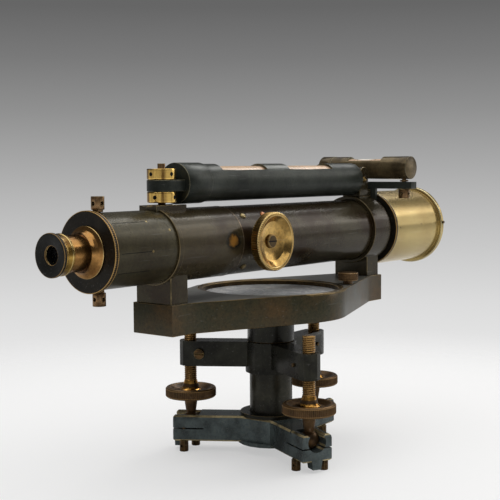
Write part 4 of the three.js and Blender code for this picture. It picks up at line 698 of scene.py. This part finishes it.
def prism(name, body, skin, rub, outline, low, high, along, width=0.0005):
    """A straight prism: a closed outline in millimetres swept along one axis, with its sharp edges eased.

    The outline's two numbers are the two axes after the sweep's own, in the order X, Y, Z, X, Y.
    """
    count = len(outline)
    first, second = {"X": (1, 2), "Y": (2, 0), "Z": (0, 1)}[along]
    spots = np.zeros((2 * count, 3))
    spots[:, [first, second]] = np.tile(outline, (2, 1))
    spots[:, 3 - first - second] = np.repeat([low, high], count)
    faces = band(0, count, count) + [list(range(count))[::-1], list(range(count, 2 * count))]
    mesh = drawn_mesh(name, (spots * 0.001).tolist(), faces)
    mended(mesh, outward=True)
    shaded(mesh, skin, rub)
    placed(name, mesh, body, ease=width)


def saddle_outline(half_width, foot, hoop):
    """The end view of a pillar under a hoop: straight sides and a hollow top on the hoop's circle."""
    lean = math.asin(half_width / hoop)
    crown = [(hoop * math.sin(a), tube_height - hoop * math.cos(a)) for a in np.linspace(lean, -lean, 21)]
    return [(-half_width, foot), (half_width, foot)] + crown


tube_skin("eye_sleeve", "limb", sleeve_tone,
    [(22.2, -120.1), (24.3, -120.1), (24.3, -116.2), (23.4, -116.2), (23.4, -57.2), (22.2, -57.2)],
    width=0.4, node="eye_standard")
prism("eye_pillar", "limb", olive_tone, olive_edge, saddle_outline(15.07, 120.0, 22.9), -118.85, -103.4, "X")
level_height = 194.9
pad_crown = [(y, level_height - math.sqrt(14.24 ** 2 - y * y)) for y in np.linspace(5.2, -5.2, 13)]
pad_foot = [(23.15 * math.sin(a), tube_height + 23.15 * math.cos(a)) for a in np.linspace(-0.329, 0.329, 15)]
prism("eye_pad", "limb", olive_tone, olive_edge, pad_foot + [(7.5, 181.6)] + pad_crown + [(-7.5, 181.6)],
    -123.0, -95.4, "X", width=0.0003)
tube_skin("object_collar", "limb", olive_tone,
    [(23.43, 97.2), (26.0, 97.2), (26.0, 98.8), (25.8, 98.8), (25.8, 119.2), (23.43, 119.2)], width=0.35,
    node="objective_standard")
prism("object_pillar", "limb", olive_tone, olive_edge, saddle_outline(15.07, 120.0, 24.6), 102.3, 118.0, "X")
object_pad = [(24.6 * math.sin(a), tube_height + 24.6 * math.cos(a)) for a in np.linspace(-0.331, 0.331, 11)]
prism("object_pad", "limb", olive_tone, olive_edge, object_pad + [(8.0, 181.6), (-8.0, 181.6)], 102.6, 118.2,
    "X", width=0.0003)

# The barrel: a drawn brass tube soldered in the eye sleeve, with a guide land at the object end.
# Bronzed dark olive outside; four flush screws hold the pinion's saddle inside its wall.
tube_skin("barrel", "limb", olive_tone,
    [(20.9, -115.2), (21.9, -115.2), (21.9, -57.2), (23.13, -57.2), (23.13, 118.5), (18.9, 118.5),
     (18.9, 100.0), (20.9, 100.0)])
lip_tone = metal("rubbed_lip", (156, 138, 116), (96, 84, 70), 0.30, metallic=0.7)
tube_skin("sleeve_lip", "limb", lip_tone, [(23.2, -57.9), (23.5, -57.9), (23.5, -57.45), (23.2, -57.15)],
    width=0.05)
copper_tone = metal("coppery_screw", (196, 134, 92), (120, 80, 54), 0.28, metallic=0.8, patches=160.0)
screw_tone = metal("brassy_screw", (150, 134, 94), (88, 76, 52), 0.28, metallic=0.8, patches=160.0)


def on_tube(obj, place, degrees, radius):
    """Lays an upright piece on the tube, pointing out at an angle above the side where the knob is."""
    lean = math.radians(degrees)
    seat = Vector((place, -radius * math.cos(lean), tube_height + radius * math.sin(lean))) * 0.001
    obj.data.transform(Matrix.Translation(seat) @ Matrix.Rotation(math.pi / 2 - lean, 4, "X"))


for i, (place, degrees) in enumerate(((-49.75, 47.0), (-49.75, -47.0), (-28.25, 47.0), (-28.25, -47.0))):
    screw = turned(f"cover_screw_{i + 1}", "limb", (screw_tone, copper_tone)[i // 2],
        [(0.0, -1.2), (2.4, -1.2), (2.4, 0.4), (1.8, 1.0), (0.0, 1.3)], sides=32, width=0.15)
    on_tube(screw, place, degrees, 23.1)


def smoothed(node, body, skin, least=26.0):
    """A CAD piece as it is, with its facets shaded as one curve and its real edges left sharp."""
    mesh = frame["nodes"][node].data.copy()
    mended(mesh, near=1e-6)
    shaded(mesh, skin, worn_faces=[0] * len(mesh.polygons))
    mesh.set_sharp_from_angle(angle=math.radians(least))
    placed(node, mesh, body)


# The focusing train: a pinion in a saddle inside the barrel, its shaft, and a dished, knurled knob.
# The knob is polished golden brass with a dark slotted screw sunk in its middle.
smoothed("pinion_bearing", "limb", olive_tone, least=34.0)
smoothed("pinion", "knob", plain_steel)
knob_tone = metal("knob_brass", (206, 170, 102), (128, 98, 50), 0.18, patches=60.0, swing=0.08, bump=0.12,
    worn=(200, 172, 116))
turned("focus_knob", "knob", knob_tone,
    [(2.5, 28.3), (6.0, 28.3), (6.0, 29.3), (18.9, 29.3), (19.6, 30.0), (19.6, 35.3), (18.9, 36.0),
     (17.2, 36.0), (16.2, 35.0), (13.2, 32.6), (10.3, 31.7), (7.4, 31.2), (2.5, 31.2)], sides=480, lay="-Y",
    place=(-39.0, 0.0, tube_height), width=0.3, knurls=[(29.7, 35.8, 80, 0.38, 18.95)])
turned("knob_screw", "knob", bezel_tone,
    [(0.0, 27.0), (1.2, 27.0), (1.2, 31.2), (4.6, 31.2), (4.6, 32.4), (4.1, 32.9), (0.0, 32.9)], lay="-Y",
    place=(-39.0, 0.0, tube_height), width=0.25)
# The screw's slot is a thin near-black prism: painted shade in the slot.
slot_shade_tone = metal("slot_shadow", (14, 13, 12), (8, 8, 7), 0.7, metallic=0.0, scratch=0.0)
prism("knob_screw_slot", "knob", slot_shade_tone, slot_shade_tone,
    [(-43.3, -32.93), (-34.7, -32.93), (-34.7, -32.6), (-43.3, -32.6)], 155.35, 156.25, "Z", width=0.00005)

# The eye end: a short tube that carries the diaphragm, a dark end plate and a golden socket.
# The tube is bronzed; two capstan screws above and below hold the ring with the cross hairs.
eye_tone = metal("eye_tube_bronze", (70, 65, 47), (46, 39, 26), 0.30, metallic=0.35, patches=30.0,
    scratch=0.03, worn=(132, 112, 76), gloss=0.20, coat=0.08)
tube_skin("eye_tube", "limb", eye_tone,
    [(21.0, -171.3), (23.0, -171.3), (23.0, -120.1), (21.9, -120.1), (21.9, -116.5), (21.0, -116.5)],
    width=0.35)
plate_tone = metal("plate_bronze", (44, 40, 33), (28, 26, 22), 0.34, metallic=0.4, patches=60.0,
    worn=(190, 152, 92))
tube_skin("eye_plate", "limb", plate_tone,
    [(12.5, -174.2), (24.55, -174.2), (24.55, -171.3), (20.7, -171.3), (20.7, -168.3), (12.5, -168.3)],
    sides=360, width=0.45, knurls=[(-173.8, -171.7, 120, 0.25, 24.5)])
eye_brass = metal("eyepiece_brass", (176, 142, 70), (104, 76, 38), 0.20, patches=120.0, swing=0.06,
    patch_stretch=(0.06, 1.0, 1.0), bump=0.1, worn=(214, 188, 128), flecks=0.4)
socket_tone = metal("socket_copper", (172, 128, 74), (112, 78, 44), 0.20, patches=70.0, swing=0.08, bump=0.1,
    worn=(214, 182, 122), flecks=0.4)
tube_skin("eyepiece_socket", "limb", socket_tone,
    [(9.9, -193.0), (11.0, -193.0), (11.0, -180.2), (11.25, -179.2), (11.9, -177.9), (13.4, -176.5),
     (15.7, -175.4), (15.7, -174.2), (12.2, -174.2), (12.2, -168.3), (9.9, -168.3)])
tube_skin("eyepiece_barrel", "eyepiece", eye_brass,
    [(8.6, -172.3), (9.6, -172.3), (9.6, -193.3), (11.75, -193.3), (12.35, -193.9), (12.35, -195.2),
     (11.95, -195.6), (11.95, -198.4), (12.35, -198.8), (12.35, -200.1), (5.5, -200.1), (5.5, -196.1),
     (8.6, -196.1)])
cup_tone = metal("eyecup_black", (32, 32, 29), (20, 20, 18), 0.40, metallic=0.2, patches=80.0,
    worn=(150, 120, 76))
tube_skin("eyecup", "eyepiece", cup_tone,
    [(5.5, -200.1), (12.94, -200.1), (12.94, -202.1), (11.34, -202.1), (5.5, -200.9)], width=0.35)
lens_glass = glass_skin("lens_glass", (0.93, 0.97, 1.0, 1.0), 0.02, (0.0, 0.04))
tube_skin("eye_lens", "eyepiece", lens_glass,
    [(0.0, -195.8), (8.3, -195.8), (8.3, -193.4), (4.0, -193.0), (0.0, -192.9)], sides=96, width=0.1)
smoothed("diaphragm_ring", "limb", gold_brass)
capstan_tone = metal("capstan_brass", (148, 118, 84), (92, 70, 48), 0.30, metallic=0.8, patches=120.0)
for node in ("diaphragm_screw_top", "diaphragm_screw_bottom"):
    softened(node, "limb", capstan_tone, width=0.00025, least=40.0)
for place, degrees in ((-140.0, 48.0), (-142.0, -1.0), (-124.6, 30.0)):
    pin = turned(f"eye_tube_pin_{int(-place)}", "limb", screw_tone,
        [(0.0, -1.0), (0.9, -1.0), (0.9, 0.05), (0.0, 0.12)], sides=24, width=0.1)
    on_tube(pin, place, degrees, 23.02)
# Three thin near-black lines are the eye tube's real scores; their darkness is partly painted shade in the
# grooves.
for number, degrees in enumerate((48.0, -1.0, -32.0)):
    lean = math.radians(degrees)
    corners = [(22.9, lean - 0.008), (23.06, lean - 0.008), (23.06, lean + 0.008), (22.9, lean + 0.008)]
    outline = [(-radius * math.cos(turn), tube_height + radius * math.sin(turn)) for radius, turn in corners]
    prism(f"eye_tube_score_{number + 1}", "limb", slot_shade_tone, slot_shade_tone, outline, -168.0, -142.0, "X",
        width=0.00002)
tube_skin("eyepiece_blackened_bore", "eyepiece", cup_tone,
    [(5.3, -200.05), (5.45, -200.05), (5.45, -196.15), (5.3, -196.15)], sides=96, width=0.02)

# The object end: a draw tube with a rack, a flanged cell with its lens, and a sliding ray shade.
# The draw tube is bright brass; the shade is lacquered pale brass gone yellow, with a turned lip.
tube_brass = metal("draw_tube_brass", (196, 170, 112), (150, 124, 74), 0.24, patches=60.0)
smoothed("draw_tube", "objective_slide", tube_brass)
tube_skin("objective_cell", "objective_slide", plate_tone,
    [(18.9, 122.8), (29.0, 122.8), (29.0, 125.0), (27.65, 125.0), (27.65, 161.0), (24.5, 161.0),
     (24.5, 143.0), (22.0, 143.0), (22.0, 127.4), (17.2, 126.7), (18.9, 126.7)], width=0.4)
lens_face = [(24.2 * t, 148.2 + 1.6 * (1 - t * t)) for t in np.linspace(1.0, 0.0, 9)]
tube_skin("objective_lens", "objective_slide", lens_glass,
    [(0.0, 144.9), (11.0, 144.5), (22.0, 143.3), (24.2, 143.3)] + lens_face, sides=128, width=0.1)
shade_tone = metal("shade_brass", (194, 174, 118), (168, 142, 90), 0.22, metallic=0.75, patches=16.0,
    patch_share=(0.38, 0.72), swing=0.06, bump=0.1, worn=(204, 190, 146), flecks=0.22)
tube_skin("ray_shade", "shade", shade_tone,
    [(27.95, 125.3), (29.0, 125.3), (29.0, 188.9), (31.2, 188.9), (31.7, 189.4), (31.7, 192.3),
     (31.3, 192.7), (27.95, 192.7)], sides=192)
pins = ((128.6, 2.0, 29.0, 0.7), (160.4, 5.0, 29.0, 0.5), (190.8, 4.7, 31.7, 1.1))
for place, degrees, radius, size in pins:
    proud = (radius - 29.0) * 0.5
    pin = turned(f"shade_pin_{int(place)}", "shade", plate_tone,
        [(0.0, -0.8), (size, -0.8), (size, 0.04 + 0.9 * proud), (0.0, 0.1 + proud)], sides=24, width=0.1)
    on_tube(pin, place, degrees, radius)

# The main level: a long bubble tube in a case with two windows, held by a stud and nuts at the eye end
# and by a hinge at the object end. The case is brass tube bronzed dark green; the nuts are bright brass.
case_tone = metal("green_black_skin", (56, 60, 55), (36, 40, 36), 0.36, metallic=0.3, patches=32.0,
    scratch=0.03, worn=(110, 106, 88))
case_edge = metal("case_edge", (120, 116, 96), (60, 60, 50), 0.34, metallic=0.7, patches=80.0)


def bubble_case(name, body, skin, rub, steps, bore, bore_ends, windows, sill, lay, place, node=None):
    """A closed tube of steps (start, end, radius) with a bore, and windows in its top down to the sill.

    Each step is a ring of points, or under a window an arc below the sill, with flat lips to the bore's arc.
    """
    spots, faces, rubbed = [], [], []
    axes = {"X": [1, 2, 0], "Y": [0, 2, 1]}[lay]
    sides, round_turn = 96, 2 * math.pi

    def ring(radius, along, first=0.0, last=round_turn, count=sides + 1):
        """Points of an arc from one angle to another, with the angles measured from the top."""
        start = len(spots)
        for a in np.linspace(first, last, count):
            point = np.zeros(3)
            point[axes] = radius * math.sin(a), radius * math.cos(a), along
            spots.append(point)
        return list(range(start, start + count))

    def sheet(one, two, edge=0):
        """Quads between two rows of points."""
        for k in range(len(one) - 1):
            faces.append([one[k], one[k + 1], two[k + 1], two[k]])
            rubbed.append(edge)

    def opening(radius):
        """Half the angle that a window takes out of a circle."""
        return math.acos(sill / radius)

    def wall(radius, along):
        """A flat disc across the axis."""
        sheet(ring(radius, along), ring(0.001, along))

    cuts = sorted(set(sum([step[:2] for step in steps] + windows, bore_ends)))
    for start, end in zip(cuts[:-1], cuts[1:]):
        middle = (start + end) / 2
        radius = next(r for a, b, r in steps if a < middle < b)
        open_here = any(a < middle < b for a, b in windows)
        outer, inner = (opening(radius), opening(bore)) if open_here else (0.0, 0.0)
        low, high = [ring(radius, along, outer, round_turn - outer) for along in (start, end)]
        sheet(low, high)
        if bore_ends[0] < middle < bore_ends[1]:
            low_in, high_in = [ring(bore, along, inner, round_turn - inner) for along in (start, end)]
            sheet(high_in, low_in)
            for k in (0, sides) if open_here else ():
                faces.append([low[k], high[k], high_in[k], low_in[k]])
                rubbed.append(1)
    for along in sum(windows, ()):
        radius = next(r for a, b, r in steps if a < along < b)
        arcs = [ring(r, along, -opening(r), opening(r), 25) for r in (radius, bore)]
        sheet(*arcs, 1)
    wall(steps[0][2], steps[0][0])
    wall(steps[-1][2], steps[-1][1])
    for one, two in zip(steps[:-1], steps[1:]):
        sheet(ring(one[2], one[1]), ring(two[2], one[1]))
    for along in bore_ends:
        wall(bore, along)
    mesh = drawn_mesh(name, (np.array(spots) * 0.001 + np.array(place) * 0.001).tolist(), faces)
    shaded(mesh, skin, rub, worn_faces=rubbed)
    mended(mesh, near=4e-6, outward=True)
    placed(name, mesh, body, node, ease=0.00035, least=40.0, harden=False)


def vial_skin(name, along, middle, bubble, marks):
    """Spirit in glass, shaded from its place along an axis: a pale bubble with a dark outline, and black
    lines at the marks' distances from its middle. The peach tone is a painted reflection of warm light in
    the glass; the bubble is real, its pale middle and dark rim painted light and shade. Both middle and
    bubble, which is its half size, are (along, across) in metres."""
    material = metal(name, (214, 182, 152), (196, 168, 138), 0.32, metallic=0.0, patches=40.0, scratch=0.0,
                     coat=0.1, bump=0.0, swing=0.04)
    tree, tone, colour = opened(material)
    half_line, ink = 0.00018, (0.02, 0.015, 0.012, 1.0)
    split = put(tree, "SeparateXYZ", place_on(tree)).outputs
    away = maths(tree, "ABSOLUTE", maths(tree, "SUBTRACT", split[along], middle[0]))
    for mark in marks:
        colour = mixed(tree, maths(tree, "COMPARE", away, mark, half_line), colour, ink)
    side = maths(tree, "SUBTRACT", split["Y" if along == "X" else "X"], middle[1])
    shares = [maths(tree, "DIVIDE", *pair) for pair in ((away, bubble[0]), (side, bubble[1]))]
    size = length_of(tree, put(tree, "CombineXYZ", *shares).outputs[0])
    shine = ramp(tree, size, (0.0, 1), (0.80, 1), (0.90, 0), (1.0, 0.5))
    glow = mixed(tree, shine, linear(120, 104, 84), linear(248, 240, 226))
    tree.links.new(mixed(tree, maths(tree, "LESS_THAN", size, 1.0), colour, glow), tone)
    return material


level_axis = (0.0, 0.0, level_height)
bubble_case("level_case", "main_level", case_tone, case_edge, [(-98.4, -76.0, 13.24), (-76.0, 100.8, 12.4)],
    11.1, (-90.4, 92.8), [(-61.5, -14.0), (11.5, 64.7)], 8.1, "X", level_axis)
lug_turns = np.linspace(math.pi / 2, 1.5 * math.pi, 25)
lug_arc = [(-110.4 + 9.3 * math.cos(a), 9.3 * math.sin(a)) for a in lug_turns]
prism("level_lug", "main_level", case_tone, case_edge, [(-97.9, -9.3), (-97.9, 9.3)] + lug_arc, 190.0, 197.4,
    "Z")
tongue_turns = np.linspace(-math.pi / 2, math.pi / 2, 15)
tongue = [(level_height + 5.1 * math.sin(a), 109.0 + 5.1 * math.cos(a)) for a in tongue_turns]
prism("level_tongue", "main_level", case_tone, case_edge, [(189.8, 100.3)] + tongue + [(200.0, 100.3)], -4.0,
    4.0, "Y", width=0.0003)
main_glass = vial_skin("main_vial", "X", (0.0015, 0.0), (0.019, 0.0052),
    (0.012, 0.016, 0.020, 0.024, 0.028, 0.032))
turned("level_vial", "main_level", main_glass, [(0.0, -90.1), (10.8, -90.1), (10.8, 92.5), (0.0, 92.5)],
    sides=128, lay="X", place=level_axis, width=1.5)
# The nuts' patches are stretched upright into bright and dark bands: painted reflections round the nuts.
streaked_nut_tone = metal("nut_brass_painted_streaks", (250, 208, 118), (118, 86, 44), 0.20, patches=170.0, swing=0.06, bump=0.1,
    flecks=0.3, patch_share=(0.40, 0.60), patch_stretch=(1.0, 1.0, 0.05))
nut_radius, nut_bore, nut_height, stud_place = 9.2, 2.6, 6.8, -110.4
for node, body, foot, turn in (("level_nut_top", "level_top_nut", 197.55, 178.0),
                               ("level_nut_bottom", "level_bottom_nut", 183.05, 196.0)):
    turned(node, body, streaked_nut_tone,
        [(nut_bore, foot), (nut_radius, foot), (nut_radius, foot + nut_height),
         (nut_bore, foot + nut_height)], sides=128, place=(stud_place, 0.0, 0.0), width=0.6)
    # Each capstan hole is a shallow cup in the near-black slot tone: painted shade in the hole.
    for quarter in range(4):
        hole = turned(f"{node}_hole_{quarter + 1}", body, slot_shade_tone,
            [(0.0, -1.6), (1.3, -1.6), (1.3, 0.05), (0.0, 0.05)], sides=32, width=0.05)
        way = math.radians(turn + 90.0 * quarter)
        seat = Vector((nut_radius * math.cos(way), nut_radius * math.sin(way), foot + nut_height / 2))
        seat.x += stud_place
        aim = Matrix.Rotation(way, 4, "Z") @ Matrix.Rotation(math.pi / 2, 4, "Y")
        hole.data.transform(Matrix.Translation(seat * 0.001) @ aim)
softened("level_stud", "limb", capstan_tone, width=0.0002, least=40.0)

# The hinge of the main level: a forked post on the object collar, with a plain pin.
# Bronze, filed round at the top; the pin's ends are bright.
softened("level_hinge_post", "limb", olive_tone, olive_edge, least=35.0)
softened("level_hinge_pin", "limb", gold_brass, width=0.0002, least=40.0)

# The cross level: a short capped bubble tube across the object end, on a bracket arm.
# It hinges on a pin at its far end and is raised at the near end by a capstan screw.
cross_tone = metal("cross_bronze", (112, 98, 72), (50, 41, 29), 0.22, metallic=0.5, patches=40.0,
    scratch=0.03, worn=(130, 112, 80))
softened("cross_bracket", "limb", case_tone, case_edge, least=35.0)
cross_axis = (124.8, 0.0, 203.6)
bubble_case("cross_case_skin", "cross_level", cross_tone, case_edge, [(-40.4, 29.8, 8.8), (29.8, 40.7, 9.1)],
    7.2, (-33.0, 33.0), [(-16.8, 15.2)], 5.6, "Y", cross_axis, node="cross_level_case")
prism("cross_lug", "cross_level", cross_tone, case_edge,
    [(31.2, 187.7), (36.8, 187.7), (36.8, 196.0), (31.2, 196.0)], 120.8, 125.8, "X", width=0.0003)
cross_glass = vial_skin("cross_bubble", "Y", (0.0, 0.1248), (0.010, 0.0036), (0.0065, 0.0095))
turned("cross_vial", "cross_level", cross_glass, [(0.0, -32.7), (6.9, -32.7), (6.9, 32.7), (0.0, 32.7)],
    lay="Y", place=cross_axis, width=1.0)
softened("cross_level_screw", "cross_screw", capstan_tone, width=0.00025, least=40.0)
